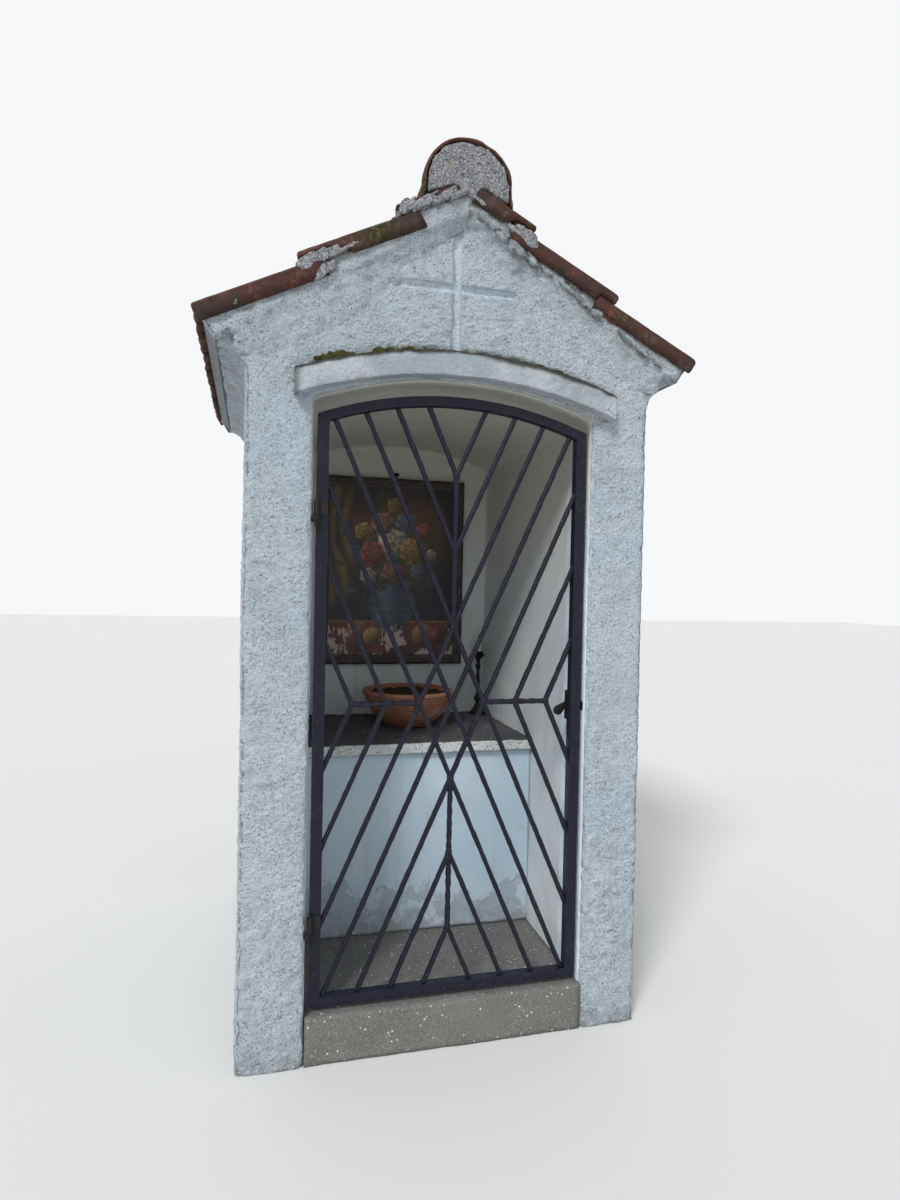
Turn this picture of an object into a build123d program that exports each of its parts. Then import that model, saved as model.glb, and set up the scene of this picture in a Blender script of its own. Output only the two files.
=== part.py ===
from build123d import *
import os
from math import atan2, cos, degrees, pi, radians, sin, sqrt, tan

# Wayside shrine in rendered masonry: hollow niche, barrel vault, clay tile roof and an iron lattice gate.
# Millimetres, +Z up, ground at Z 0, front face towards -Y, origin in the middle of the footprint.

# Masonry body
body_width = 1300
body_depth = 1360
side_wall_thickness = 200
back_wall_thickness = 210
front_wall_thickness = 200
floor_height = 150
springing_height = 1862
arch_rise = 85
vault_thickness = 110
lintel_depth_over_crown = 84

# Eaves cove
cove_start_over_springing = 38
cove_reach = 85

# Hood mould over the opening
hood_overhang = 62
hood_foot_over_springing = -6
hood_rise = 94
hood_height = 78
hood_projection = 45

# Recessed cross in the gable
cross_height = 378
cross_width = 396
cross_groove = 21
cross_depth = 7
cross_offset = -20
cross_foot_over_lintel = 10

# Roof
roof_pitch = 32
roof_apex_over_crown = 550
eaves_overhang = 17
top_course_length = 227
tile_lap = 60
tile_thickness = 36
course_count = 3
verge_overhang = 46
flap_thickness = 20
flap_drop = 19
bed_thickness = 31
ridge_gap = 15
tile_count = 7
trough_width = 74
trough_floor = 40
trough_depth = 11
trough_spacing = 94
joint_width = 4
joint_depth = 9

# Ridge tiles
ridge_radius = 131
ridge_wall = 14
ridge_collar = 12
ridge_collar_length = 60
ridge_collar_socket = 45
ridge_axis_over_apex = 36
ridge_tile_count = 4
ridge_clearance = 0.3
mortar_recess = 4

# Altar
altar_depth = 656
altar_height = 678
slab_nosing = 24
slab_thickness = 40

# Painting
painting_width = 670
painting_height = 852
painting_below_springing = 64
frame_moulding = 47
frame_depth = 35
frame_rebate = 8
frame_lip = 13
frame_step_width = 18
frame_step_depth = 7
panel_thickness = 8

# Planter bowl
bowl_rim_radius = 195
bowl_foot_radius = 92
bowl_height = 150
bowl_wall = 14
bowl_rim_height = 18
bowl_rim_lip = 8
bowl_belly_bulge = 20
bowl_offset = 30
bowl_from_back = 280
soil_below_rim = 12
soil_clearance = 0.3

# Candlesticks
candlestick_from_side = 45
candlestick_from_back = 75
candlestick_height = 292
candlestick_sides = 8
candlestick_foot_radius = 40
candlestick_foot_edge = 8
candlestick_stem_radius = 9
candlestick_knop_foot = 60
candlestick_knop_radius = 18
candlestick_knop_height = 26
candlestick_cup_radius = 25
candlestick_cup_height = 24
candle_radius = 16
candle_height = 80

# Gate
gate_side_clearance = 13
gate_floor_clearance = 16
gate_arch_clearance = 44
gate_setback = 40
gate_frame_depth = 30
stile_width = 34
head_width = 30
rail_height = 30
lattice_bar = 15
lattice_lift = 7
lattice_pitch = 106
lattice_rise = 240

# Gate ironmongery
pin_radius = 5
pin_clearance = 0.3
eye_radius = 9
eye_height = 45
hinge_axis_offset = 12
pintle_arm = 12
eye_seat_gap = 0.3
strap_thickness = 5
strap_length = 34
upper_hinge_below_springing = 326
lower_hinge_height = 278
lock_height = 920
lock_case_height = 96
lock_case_depth = 20
lever_reach = 48
lever_drop = 42
lever_neck = 14
lever_blade = 36
lever_thickness = 10
lever_rise = 12
bolt_height = 16
bolt_projection = 5
keeper_thickness = 3
keeper_height = 28
keeper_width = 24

# Places that follow from the sizes above
front_y = -body_depth / 2
back_y = body_depth / 2
outer_x = body_width / 2
niche_x = outer_x - side_wall_thickness
niche_back_y = back_y - back_wall_thickness
springing_z = floor_height + springing_height
crown_z = springing_z + arch_rise
lintel_z = crown_z + lintel_depth_over_crown
arch_radius = (niche_x**2 + arch_rise**2) / (2 * arch_rise)
arch_centre_z = crown_z - arch_radius
cove_x = outer_x + cove_reach
cove_start_z = springing_z + cove_start_over_springing
hood_x = niche_x + hood_overhang
slope_cos = cos(radians(roof_pitch))
slope_sin = sin(radians(roof_pitch))
slope_tan = tan(radians(roof_pitch))
roof_apex_z = crown_z + roof_apex_over_crown
eaves_length = (cove_x + bed_thickness * slope_sin) / slope_cos
slope_length = eaves_length + eaves_overhang
tile_gauge = (slope_length - top_course_length) / (course_count - 1)
tile_length = tile_gauge + tile_lap
verge_y = back_y + verge_overhang
tile_width = 2 * verge_y / tile_count
ridge_z = roof_apex_z + ridge_axis_over_apex
slab_top_z = floor_height + altar_height + slab_thickness
gate_x = niche_x - gate_side_clearance
gate_front_y = front_y + gate_setback - gate_frame_depth / 2
gate_foot_z = floor_height + gate_floor_clearance
gate_head_radius = arch_radius - gate_arch_clearance
hinge_x = -niche_x + hinge_axis_offset
hinge_y = gate_front_y - hinge_axis_offset

os.makedirs("parts", exist_ok=True)


def save(shape, name):
    # Label one finished piece and write its STEP file.
    shape.part.label = name
    export_step(shape.part, f"parts/{name}.step")


def upright(y):
    # Vertical plane across the shrine: local x is X, local y is Z, and extrusion runs to the front.
    return Plane(origin=(0, y, 0), x_dir=(1, 0, 0), z_dir=(0, -1, 0))


def on_slope(along, above):
    # Point of the right-hand slope, from its distance down from the apex and its height square to the roof.
    x = along * slope_cos + above * slope_sin
    z = roof_apex_z - along * slope_sin + above * slope_cos
    return (x, z)


def underside_at(x):
    # Height of the underside of the roof bed at a distance from the middle.
    return roof_apex_z - bed_thickness / slope_cos - x * slope_tan


def course_nose(course):
    # Distance from the apex down to the lower edge of a tile course, counted from the eaves.
    return slope_length - course * tile_gauge


def tile_bottom(course, along):
    # Height of a course's underside over the roof plane: tiles tip up by their own thickness at the nose.
    return tile_thickness * (1 - (course_nose(course) - along) / tile_gauge)


def course_end(course):
    # Distance from the apex to the upper edge of a course.
    return max(course_nose(course) - tile_length, ridge_gap)


def arch_face(half_width, foot_z, rise):
    # Area under a segmental arch, down to its springing.
    with BuildSketch() as sketch:
        with BuildLine():
            ThreePointArc((-half_width, foot_z), (0, foot_z + rise), (half_width, foot_z))
            Line((half_width, foot_z), (-half_width, foot_z))
        make_face()
    return sketch.sketch


def masonry_face(foot_z):
    # Cross-section of the upper masonry from a level up to the roof bed, with the coves at its sides.
    with BuildSketch() as sketch:
        with BuildLine():
            Line((0, foot_z), (outer_x, foot_z))
            Line((outer_x, foot_z), (outer_x, cove_start_z))
            TangentArc((outer_x, cove_start_z), (cove_x, underside_at(cove_x)), tangent=(0, 1))
            Line((cove_x, underside_at(cove_x)), (0, underside_at(0)))
            mirror(about=Plane.YZ)
        make_face()
    return sketch.sketch


# Floor slab of the niche, from the ground up
with BuildPart() as floor_slab:
    with BuildSketch():
        with Locations((0, (front_y + niche_back_y) / 2)):
            Rectangle(2 * niche_x, niche_back_y - front_y)
    extrude(amount=floor_height)
save(floor_slab, "floor_slab")

# Side walls, whose front ends are the piers of the opening
for side, sign in (("left", -1), ("right", 1)):
    with BuildPart() as side_wall:
        with BuildSketch():
            with Locations((sign * (niche_x + outer_x) / 2, 0)):
                Rectangle(side_wall_thickness, body_depth)
        extrude(amount=springing_z)
    save(side_wall, f"{side}_wall")

# Back wall between the side walls
with BuildPart() as back_wall:
    with BuildSketch():
        with Locations((0, (niche_back_y + back_y) / 2)):
            Rectangle(2 * niche_x, back_wall_thickness)
    extrude(amount=springing_z)
save(back_wall, "back_wall")

# Arched lintel over the opening, up to the foot of the gable
with BuildPart() as arch_lintel:
    with BuildSketch(upright(front_y + front_wall_thickness)):
        add(masonry_face(springing_z))
        add(arch_face(niche_x, springing_z, arch_rise), mode=Mode.SUBTRACT)
    extrude(amount=front_wall_thickness)
    split(bisect_by=Plane.XY.offset(lintel_z), keep=Keep.BOTTOM)
save(arch_lintel, "arch_lintel")

# Front gable with its recessed cross
cross_z = lintel_z + cross_foot_over_lintel + cross_height / 2
with BuildPart() as front_gable:
    with BuildSketch(upright(front_y + front_wall_thickness)):
        add(masonry_face(springing_z))
    extrude(amount=front_wall_thickness)
    split(bisect_by=Plane.XY.offset(lintel_z), keep=Keep.TOP)
    with BuildSketch(upright(front_y)):
        with Locations((cross_offset, cross_z)):
            Rectangle(cross_groove, cross_height)
            Rectangle(cross_width, cross_groove)
    extrude(amount=-cross_depth, mode=Mode.SUBTRACT)
save(front_gable, "front_gable")

# Back gable, plain, over the back wall
with BuildPart() as back_gable:
    with BuildSketch(upright(back_y)):
        add(masonry_face(springing_z))
    extrude(amount=back_wall_thickness)
save(back_gable, "back_gable")

# Barrel vault between the front lintel and the back gable
vault_length = niche_back_y - (front_y + front_wall_thickness)
with BuildPart() as vault:
    with BuildSketch(upright(niche_back_y)):
        with BuildLine():
            ThreePointArc((-niche_x, springing_z), (0, crown_z), (niche_x, springing_z))
            Line((niche_x, springing_z), (niche_x, springing_z + vault_thickness))
            ThreePointArc(
                (niche_x, springing_z + vault_thickness),
                (0, crown_z + vault_thickness),
                (-niche_x, springing_z + vault_thickness),
            )
            Line((-niche_x, springing_z + vault_thickness), (-niche_x, springing_z))
        make_face()
    extrude(amount=vault_length)
save(vault, "vault")

# Eaves cornices: the upper side walls, which flare out in a cove under the tiles
for side, sign in (("left", -1), ("right", 1)):
    with BuildPart() as cornice:
        with BuildSketch(upright(niche_back_y)):
            add(masonry_face(springing_z))
            with Locations((sign * (niche_x + cove_x) / 2, (springing_z + roof_apex_z) / 2)):
                Rectangle(cove_x - niche_x, roof_apex_z - springing_z, mode=Mode.INTERSECT)
        extrude(amount=vault_length)
    save(cornice, f"{side}_cornice")

# Hood mould: a flat arched band that stands out over the opening
hood_foot_z = springing_z + hood_foot_over_springing
with BuildPart() as hood_mould:
    with BuildSketch(upright(front_y)):
        with BuildLine():
            ThreePointArc((-hood_x, hood_foot_z), (0, hood_foot_z + hood_rise), (hood_x, hood_foot_z))
            Line((hood_x, hood_foot_z), (hood_x, hood_foot_z + hood_height))
            ThreePointArc(
                (hood_x, hood_foot_z + hood_height),
                (0, hood_foot_z + hood_rise + hood_height),
                (-hood_x, hood_foot_z + hood_height),
            )
            Line((-hood_x, hood_foot_z + hood_height), (-hood_x, hood_foot_z))
        make_face()
    extrude(amount=hood_projection)
save(hood_mould, "hood_mould")


def bed_points():
    # Outline of the mortar bed on the right slope, with its top stepped to seat each course.
    points = [
        (0, underside_at(0)),
        on_slope(eaves_length, -bed_thickness),
        on_slope(eaves_length, tile_bottom(0, eaves_length)),
    ]
    for course in range(course_count):
        end = course_end(course)
        points.append(on_slope(end, tile_bottom(course, end)))
        if course + 1 < course_count:
            points.append(on_slope(end, tile_bottom(course + 1, end)))
    top = tile_bottom(course_count - 1, 0)
    rise = tile_thickness / tile_gauge
    apex = -top * slope_sin / (slope_cos + rise * slope_sin)
    points.append(on_slope(apex, tile_bottom(course_count - 1, apex)))
    return points


bed_length = 2 * (verge_y - flap_thickness)
for side, sign in (("left", -1), ("right", 1)):
    with BuildPart() as roof_bed:
        with BuildSketch(upright(bed_length / 2)):
            with BuildLine():
                Polyline([(sign * x, z) for x, z in bed_points()], close=True)
            make_face()
        extrude(amount=bed_length)
    save(roof_bed, f"{side}_roof_bed")


def course_points(course, drop, foot):
    # Section of one course from its upper edge down to a foot, reaching a drop below its own underside.
    end = course_end(course)
    return [
        on_slope(foot, tile_bottom(course, foot) - drop),
        on_slope(foot, tile_bottom(course, foot) + tile_thickness),
        on_slope(end, tile_bottom(course, end) + tile_thickness),
        on_slope(end, tile_bottom(course, end) - drop),
    ]


def tile_faces(course, sign):
    # Plane across a course at its nose, square to its top face, with local x along the ridge.
    nose_x, nose_z = on_slope(course_nose(course), 2 * tile_thickness)
    end = course_end(course)
    end_x, end_z = on_slope(end, tile_bottom(course, end) + tile_thickness)
    up_slope = Vector(sign * (end_x - nose_x), 0, end_z - nose_z).normalized()
    return Plane(origin=(sign * nose_x, 0, nose_z), x_dir=(0, -sign, 0), z_dir=up_slope)


# Tile courses: each a tilted slab with troughs and joints, and with a flap down over the verge at both ends
course_names = ("eaves", "middle", "upper")
for side, sign in (("left", -1), ("right", 1)):
    for course, course_name in enumerate(course_names):
        nose = course_nose(course)
        flap_foot = nose if course == 0 else nose - tile_lap
        covered = (ridge_radius + ridge_collar) / slope_cos
        exposed = min(tile_gauge, nose - covered)
        down = -1 if tile_faces(course, sign).y_dir.Z > 0 else 1
        with BuildPart() as tile_course:
            with BuildSketch(upright(verge_y)):
                with BuildLine():
                    Polyline([(sign * x, z) for x, z in course_points(course, 0, nose)], close=True)
                make_face()
            extrude(amount=2 * verge_y)
            with BuildSketch(tile_faces(course, sign)):
                for tile in range(tile_count):
                    middle = (tile - (tile_count - 1) / 2) * tile_width
                    for trough in (middle - trough_spacing / 2, middle + trough_spacing / 2):
                        with BuildLine():
                            Polyline(
                                (trough - trough_width / 2, 0),
                                (trough - trough_floor / 2, down * trough_depth),
                                (trough + trough_floor / 2, down * trough_depth),
                                (trough + trough_width / 2, 0),
                                close=True,
                            )
                        make_face()
                with GridLocations(tile_width, 0, tile_count - 1, 1):
                    Rectangle(joint_width, 2 * joint_depth)
            extrude(amount=exposed, mode=Mode.SUBTRACT)
            for y in (verge_y, -verge_y + flap_thickness):
                with BuildSketch(upright(y)):
                    with BuildLine():
                        flap = course_points(course, flap_drop, flap_foot)
                        Polyline([(sign * x, z) for x, z in flap], close=True)
                    make_face()
                extrude(amount=flap_thickness)
        save(tile_course, f"{side}_{course_name}_tiles")


def over_tiles(x):
    # Height of the upper course's top face at a distance from the middle.
    top = course_count - 1
    x1, z1 = on_slope(course_nose(top), 2 * tile_thickness)
    x2, z2 = on_slope(course_end(top), tile_bottom(top, course_end(top)) + tile_thickness)
    return z1 + (x - x1) * (z2 - z1) / (x2 - x1)


def ridge_face(outer, inner):
    # Half-round ridge section with straight legs that stand on the upper tiles.
    with BuildSketch() as sketch:
        with BuildLine():
            Line((0, ridge_z + inner), (0, ridge_z + outer))
            ThreePointArc(
                (0, ridge_z + outer),
                (outer / sqrt(2), ridge_z + outer / sqrt(2)),
                (outer, ridge_z),
            )
            Line((outer, ridge_z), (outer, over_tiles(outer)))
            Line((outer, over_tiles(outer)), (inner, over_tiles(inner)))
            Line((inner, over_tiles(inner)), (inner, ridge_z))
            ThreePointArc(
                (inner, ridge_z),
                (inner / sqrt(2), ridge_z + inner / sqrt(2)),
                (0, ridge_z + inner),
            )
        make_face()
        mirror(about=Plane.YZ)
    return sketch.sketch


# Ridge tiles, laid from the front, each collar over the tail of the one before
ridge_cover = 2 * verge_y / ridge_tile_count
ridge_inner = ridge_radius - ridge_wall
for number in range(ridge_tile_count):
    ridge_front = -verge_y + number * ridge_cover
    tail = ridge_front + ridge_cover
    if number + 1 < ridge_tile_count:
        tail += ridge_collar_socket - ridge_clearance
    with BuildPart() as ridge_tile:
        with BuildSketch(upright(ridge_front + ridge_collar_length)):
            add(ridge_face(ridge_radius + ridge_collar, ridge_inner))
        extrude(amount=ridge_collar_length)
        with BuildSketch(upright(ridge_front + ridge_collar_socket)):
            add(ridge_face(ridge_radius + ridge_clearance, ridge_inner))
        extrude(amount=ridge_collar_socket, mode=Mode.SUBTRACT)
        with BuildSketch(upright(tail)):
            add(ridge_face(ridge_radius, ridge_inner))
        extrude(amount=tail - ridge_front - ridge_collar_socket)
    save(ridge_tile, f"ridge_tile_{number + 1}")


def mortar_face(radius):
    # Mortar packed under the ridge, down to the tiles and to the bed between their upper edges.
    top = course_count - 1
    end = course_end(top)
    apex_x, apex_z = bed_points()[-1]
    end_x, end_z = on_slope(end, tile_bottom(top, end))
    edge_x, edge_z = on_slope(end, tile_bottom(top, end) + tile_thickness)
    with BuildSketch() as sketch:
        with BuildLine():
            Polyline(
                (0, ridge_z + radius),
                (0, apex_z),
                (end_x, end_z),
                (edge_x, edge_z),
                (radius, over_tiles(radius)),
                (radius, ridge_z),
            )
            ThreePointArc(
                (radius, ridge_z),
                (radius / sqrt(2), ridge_z + radius / sqrt(2)),
                (0, ridge_z + radius),
            )
        make_face()
        mirror(about=Plane.YZ)
    return sketch.sketch


with BuildPart() as ridge_mortar:
    with BuildSketch(upright(verge_y - mortar_recess)):
        add(mortar_face(ridge_inner - ridge_clearance))
    extrude(amount=2 * (verge_y - mortar_recess))
save(ridge_mortar, "ridge_mortar")

# Altar block against the back wall
altar_front_y = niche_back_y - altar_depth
with BuildPart() as altar_block:
    with BuildSketch(Plane.XY.offset(floor_height)):
        with Locations((0, (altar_front_y + niche_back_y) / 2)):
            Rectangle(2 * niche_x, niche_back_y - altar_front_y)
    extrude(amount=altar_height)
save(altar_block, "altar_block")

# Altar slab with a nosing over the block
with BuildPart() as altar_slab:
    with BuildSketch(Plane.XY.offset(floor_height + altar_height)):
        with Locations((0, (altar_front_y - slab_nosing + niche_back_y) / 2)):
            Rectangle(2 * niche_x, niche_back_y - altar_front_y + slab_nosing)
    extrude(amount=slab_thickness)
save(altar_slab, "altar_slab")

# Painting frame on the back wall, stepped round the sight and rebated behind for the panel
painting_z = springing_z - painting_below_springing - painting_height / 2
sight_width = painting_width - 2 * frame_moulding
sight_height = painting_height - 2 * frame_moulding
with BuildPart() as painting_frame:
    with BuildSketch(upright(niche_back_y)):
        with Locations((0, painting_z)):
            Rectangle(painting_width, painting_height)
            Rectangle(sight_width, sight_height, mode=Mode.SUBTRACT)
    extrude(amount=frame_depth)
    chamfer(painting_frame.faces().sort_by(Axis.Y)[0].outer_wire().edges(), frame_lip / 2)
    with BuildSketch(upright(niche_back_y)):
        with Locations((0, painting_z)):
            Rectangle(sight_width + 2 * frame_rebate, sight_height + 2 * frame_rebate)
    extrude(amount=frame_depth - frame_lip, mode=Mode.SUBTRACT)
    with BuildSketch(upright(niche_back_y - frame_depth)):
        with Locations((0, painting_z)):
            Rectangle(sight_width + 2 * frame_step_width, sight_height + 2 * frame_step_width)
    extrude(amount=-frame_step_depth, mode=Mode.SUBTRACT)
save(painting_frame, "painting_frame")

# Painted panel in the rebate
with BuildPart() as painting_panel:
    with BuildSketch(upright(niche_back_y - frame_depth + frame_lip + panel_thickness)):
        with Locations((0, painting_z)):
            Rectangle(sight_width + 2 * frame_rebate, sight_height + 2 * frame_rebate)
    extrude(amount=panel_thickness)
save(painting_panel, "painting_panel")

# Planter bowl: bellied, with a plain rim
bowl_y = niche_back_y - bowl_from_back
bowl_plane = Plane(origin=(bowl_offset, bowl_y, slab_top_z), x_dir=(1, 0, 0), z_dir=(0, -1, 0))
bowl_axis = Axis((bowl_offset, bowl_y, 0), (0, 0, 1))
bowl_neck_height = bowl_height - bowl_rim_height
bowl_neck_radius = bowl_rim_radius - bowl_rim_lip
bowl_belly_radius = (bowl_foot_radius + bowl_neck_radius) / 2 + bowl_belly_bulge
inner_foot = bowl_foot_radius - bowl_wall / 2
inner_neck = bowl_neck_radius - bowl_wall
with BuildPart() as planter_bowl:
    with BuildSketch(bowl_plane):
        with BuildLine():
            Polyline(
                (0, 0),
                (bowl_foot_radius, 0),
                (bowl_belly_radius, bowl_neck_height / 2),
                (bowl_neck_radius, bowl_neck_height),
                (bowl_rim_radius, bowl_neck_height),
                (bowl_rim_radius, bowl_height),
                (inner_neck, bowl_height),
                (inner_foot, bowl_wall),
                (0, bowl_wall),
                close=True,
            )
        make_face()
    revolve(axis=bowl_axis)
save(planter_bowl, "planter_bowl")

# Soil in the bowl, up to a little below its rim
soil_height = bowl_height - soil_below_rim
soil_radius = inner_neck - (inner_neck - inner_foot) * soil_below_rim / (bowl_height - bowl_wall)
with BuildPart() as planter_soil:
    with BuildSketch(bowl_plane):
        with BuildLine():
            Polyline(
                (0, bowl_wall),
                (inner_foot - soil_clearance, bowl_wall),
                (soil_radius - soil_clearance, soil_height),
                (0, soil_height),
                close=True,
            )
        make_face()
    revolve(axis=bowl_axis)
save(planter_soil, "planter_soil")

# Eight-sided candlesticks with spread feet, knops and cups, and their candles
candlestick_sections = (
    (0, candlestick_foot_radius, candlestick_foot_radius),
    (candlestick_foot_edge, candlestick_foot_radius, candlestick_stem_radius),
    (candlestick_knop_foot, candlestick_knop_radius, candlestick_knop_radius),
    (candlestick_knop_foot + candlestick_knop_height, candlestick_stem_radius, candlestick_stem_radius),
    (candlestick_height - candlestick_cup_height, candlestick_cup_radius, candlestick_cup_radius),
)
section_tops = [section[0] for section in candlestick_sections[1:]] + [candlestick_height]
candlestick_y = niche_back_y - candlestick_from_back
for side, sign in (("left", -1), ("right", 1)):
    stick_x = sign * (niche_x - candlestick_from_side)
    with BuildPart() as candlestick:
        for (foot, foot_radius, head_radius), head in zip(candlestick_sections, section_tops):
            narrowing = (foot_radius - head_radius) * cos(pi / candlestick_sides)
            with BuildSketch(Plane(origin=(stick_x, candlestick_y, slab_top_z + foot))):
                RegularPolygon(foot_radius, candlestick_sides)
            extrude(amount=head - foot, taper=degrees(atan2(narrowing, head - foot)))
    save(candlestick, f"{side}_candlestick")
    with BuildPart() as candle:
        with BuildSketch(Plane(origin=(stick_x, candlestick_y, slab_top_z + candlestick_height))):
            Circle(candle_radius)
        extrude(amount=candle_height)
    save(candle, f"{side}_candle")


def gate_face(radius):
    # Area of the gate under an arched head of a given radius, struck from the centre of the niche arch.
    foot = arch_centre_z + sqrt(radius**2 - gate_x**2)
    with BuildSketch() as sketch:
        with BuildLine():
            Polyline((-gate_x, foot), (-gate_x, gate_foot_z), (gate_x, gate_foot_z), (gate_x, foot))
            ThreePointArc((gate_x, foot), (0, arch_centre_z + radius), (-gate_x, foot))
        make_face()
    return sketch.sketch


# Gate stiles, from the foot up to the arched head
gate_back_y = gate_front_y + gate_frame_depth
stile_centre = gate_x - stile_width / 2
for stile_name, sign in (("hinge_stile", -1), ("lock_stile", 1)):
    with BuildPart() as stile:
        with BuildSketch(upright(gate_back_y)):
            add(gate_face(gate_head_radius))
            with Locations((sign * stile_centre, crown_z / 2)):
                Rectangle(stile_width, crown_z, mode=Mode.INTERSECT)
        extrude(amount=gate_frame_depth)
    save(stile, stile_name)

# Arched head bar between the stiles
sight_x = gate_x - stile_width
with BuildPart() as arched_head:
    with BuildSketch(upright(gate_back_y)):
        add(gate_face(gate_head_radius))
        add(gate_face(gate_head_radius - head_width), mode=Mode.SUBTRACT)
        with Locations((0, crown_z)):
            Rectangle(2 * sight_x, crown_z, mode=Mode.INTERSECT)
    extrude(amount=gate_frame_depth)
save(arched_head, "arched_head")

# Bottom rail between the stiles
with BuildPart() as bottom_rail:
    with BuildSketch(upright(gate_back_y)):
        with Locations((0, gate_foot_z + rail_height / 2)):
            Rectangle(2 * sight_x, rail_height)
    extrude(amount=gate_frame_depth)
save(bottom_rail, "bottom_rail")


def lattice_runs(centre):
    # Centre lines of the lattice bars that fall to the right; the others mirror them.
    reach = springing_height
    lean = lattice_pitch / lattice_rise

    def at(line, height):
        return (line * lattice_pitch - lean * (height - centre), height)

    runs = []
    for line in (-1, 0, 1):
        runs.append((at(line, centre + reach), at(line, centre - reach)))
    for line in (2, 3):
        runs.append((at(line, centre + reach), at(line, centre + line * lattice_rise)))
        runs.append((at(line, centre), at(line, centre - reach)))
        runs.append((at(-line, centre + reach), at(-line, centre)))
        runs.append((at(-line, centre - line * lattice_rise), at(-line, centre - reach)))
    return runs


# Lattice of flat-crossing bars: two fans of diagonals, a broken centre bar and a broken crossbar
lattice_z = floor_height + springing_height / 2 + lattice_lift
with BuildPart() as lattice:
    with BuildSketch(upright(gate_front_y + gate_frame_depth / 2 + lattice_bar / 2)):
        for start, end in lattice_runs(lattice_z):
            run = Edge.make_line(start, end)
            middle = run.position_at(0.5)
            lean_angle = run.tangent_angle_at(0.5)
            with Locations((middle.X, middle.Y)):
                Rectangle(run.length + lattice_bar, lattice_bar, rotation=lean_angle)
            with Locations((-middle.X, middle.Y)):
                Rectangle(run.length + lattice_bar, lattice_bar, rotation=-lean_angle)
        with Locations((0, lattice_z)):
            with Locations((0, 2 * lattice_rise), (0, -2 * lattice_rise)):
                Rectangle(lattice_bar, 2 * lattice_rise)
            with Locations((2 * lattice_pitch, 0), (-2 * lattice_pitch, 0)):
                Rectangle(2 * lattice_pitch, lattice_bar)
        add(gate_face(gate_head_radius - head_width), mode=Mode.INTERSECT)
        with Locations((0, gate_foot_z + rail_height + crown_z / 2)):
            Rectangle(2 * sight_x, crown_z, mode=Mode.INTERSECT)
    extrude(amount=lattice_bar)
save(lattice, "lattice")

# Hinge eyes on the gate and the pintles that carry them
upper_hinge_height = springing_height - upper_hinge_below_springing
for hinge_name, hinge_height in (("upper", upper_hinge_height), ("lower", lower_hinge_height)):
    eye_z = floor_height + hinge_height - eye_height / 2
    with BuildPart() as hinge_eye:
        with BuildSketch(Plane.XY.offset(eye_z)):
            with Locations((hinge_x, hinge_y)):
                Circle(eye_radius)
            with Locations((hinge_x + strap_length / 2, gate_front_y - strap_thickness / 2)):
                Rectangle(strap_length, strap_thickness)
            with Locations((hinge_x, hinge_y)):
                Circle(pin_radius + pin_clearance, mode=Mode.SUBTRACT)
        extrude(amount=eye_height)
    save(hinge_eye, f"{hinge_name}_hinge_eye")
    arm_z = eye_z - eye_seat_gap - pintle_arm
    arm_length = hinge_x + pintle_arm / 2 + niche_x
    with BuildPart() as pintle:
        with BuildSketch(Plane.XY.offset(arm_z)):
            with Locations((hinge_x + pintle_arm / 2 - arm_length / 2, hinge_y)):
                Rectangle(arm_length, pintle_arm)
        extrude(amount=pintle_arm)
        with BuildSketch(Plane.XY.offset(arm_z + pintle_arm)):
            with Locations((hinge_x, hinge_y)):
                Circle(pin_radius)
        extrude(amount=eye_height + pintle_arm)
    save(pintle, f"{hinge_name}_pintle")

# Lock case on the back of the lock stile, with a bolt that stands out of the stile's edge
lock_z = floor_height + lock_height
with BuildPart() as lock_case:
    with BuildSketch(upright(gate_back_y + lock_case_depth)):
        with Locations((stile_centre, lock_z)):
            Rectangle(stile_width, lock_case_height)
    extrude(amount=lock_case_depth)
save(lock_case, "lock_case")

# Lever that droops from the lock case towards the lattice and broadens to a flat end
lever_root = Vector(stile_centre, lock_z + lever_rise)
lever_tip = lever_root - Vector(lever_reach, lever_drop)
across = (lever_tip - lever_root).normalized().rotate(Axis.Z, 90)
with BuildPart() as latch_lever:
    with BuildSketch(upright(gate_back_y + lock_case_depth + lever_thickness)):
        with BuildLine():
            Polyline(
                lever_root + across * lever_neck / 2,
                lever_tip + across * lever_blade / 2,
                lever_tip - across * lever_blade / 2,
                lever_root - across * lever_neck / 2,
                close=True,
            )
        make_face()
    extrude(amount=lever_thickness)
save(latch_lever, "latch_lever")

# Latch bolt on the lock stile's edge
with BuildPart() as latch_bolt:
    with BuildSketch(Plane(origin=(gate_x, gate_front_y + gate_frame_depth / 2, lock_z), z_dir=(1, 0, 0))):
        Rectangle(bolt_height, bolt_height)
    extrude(amount=bolt_projection)
save(latch_bolt, "latch_bolt")

# Keeper plate on the right jamb, facing the bolt
with BuildPart() as lock_keeper:
    with BuildSketch(Plane(origin=(niche_x, gate_front_y + gate_frame_depth / 2, lock_z), z_dir=(-1, 0, 0))):
        Rectangle(keeper_height, keeper_width)
    extrude(amount=keeper_thickness)
save(lock_keeper, "lock_keeper")
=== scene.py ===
import itertools
import math
import random

import bmesh
import bpy
import numpy as np
from mathutils import Matrix, Vector


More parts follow.
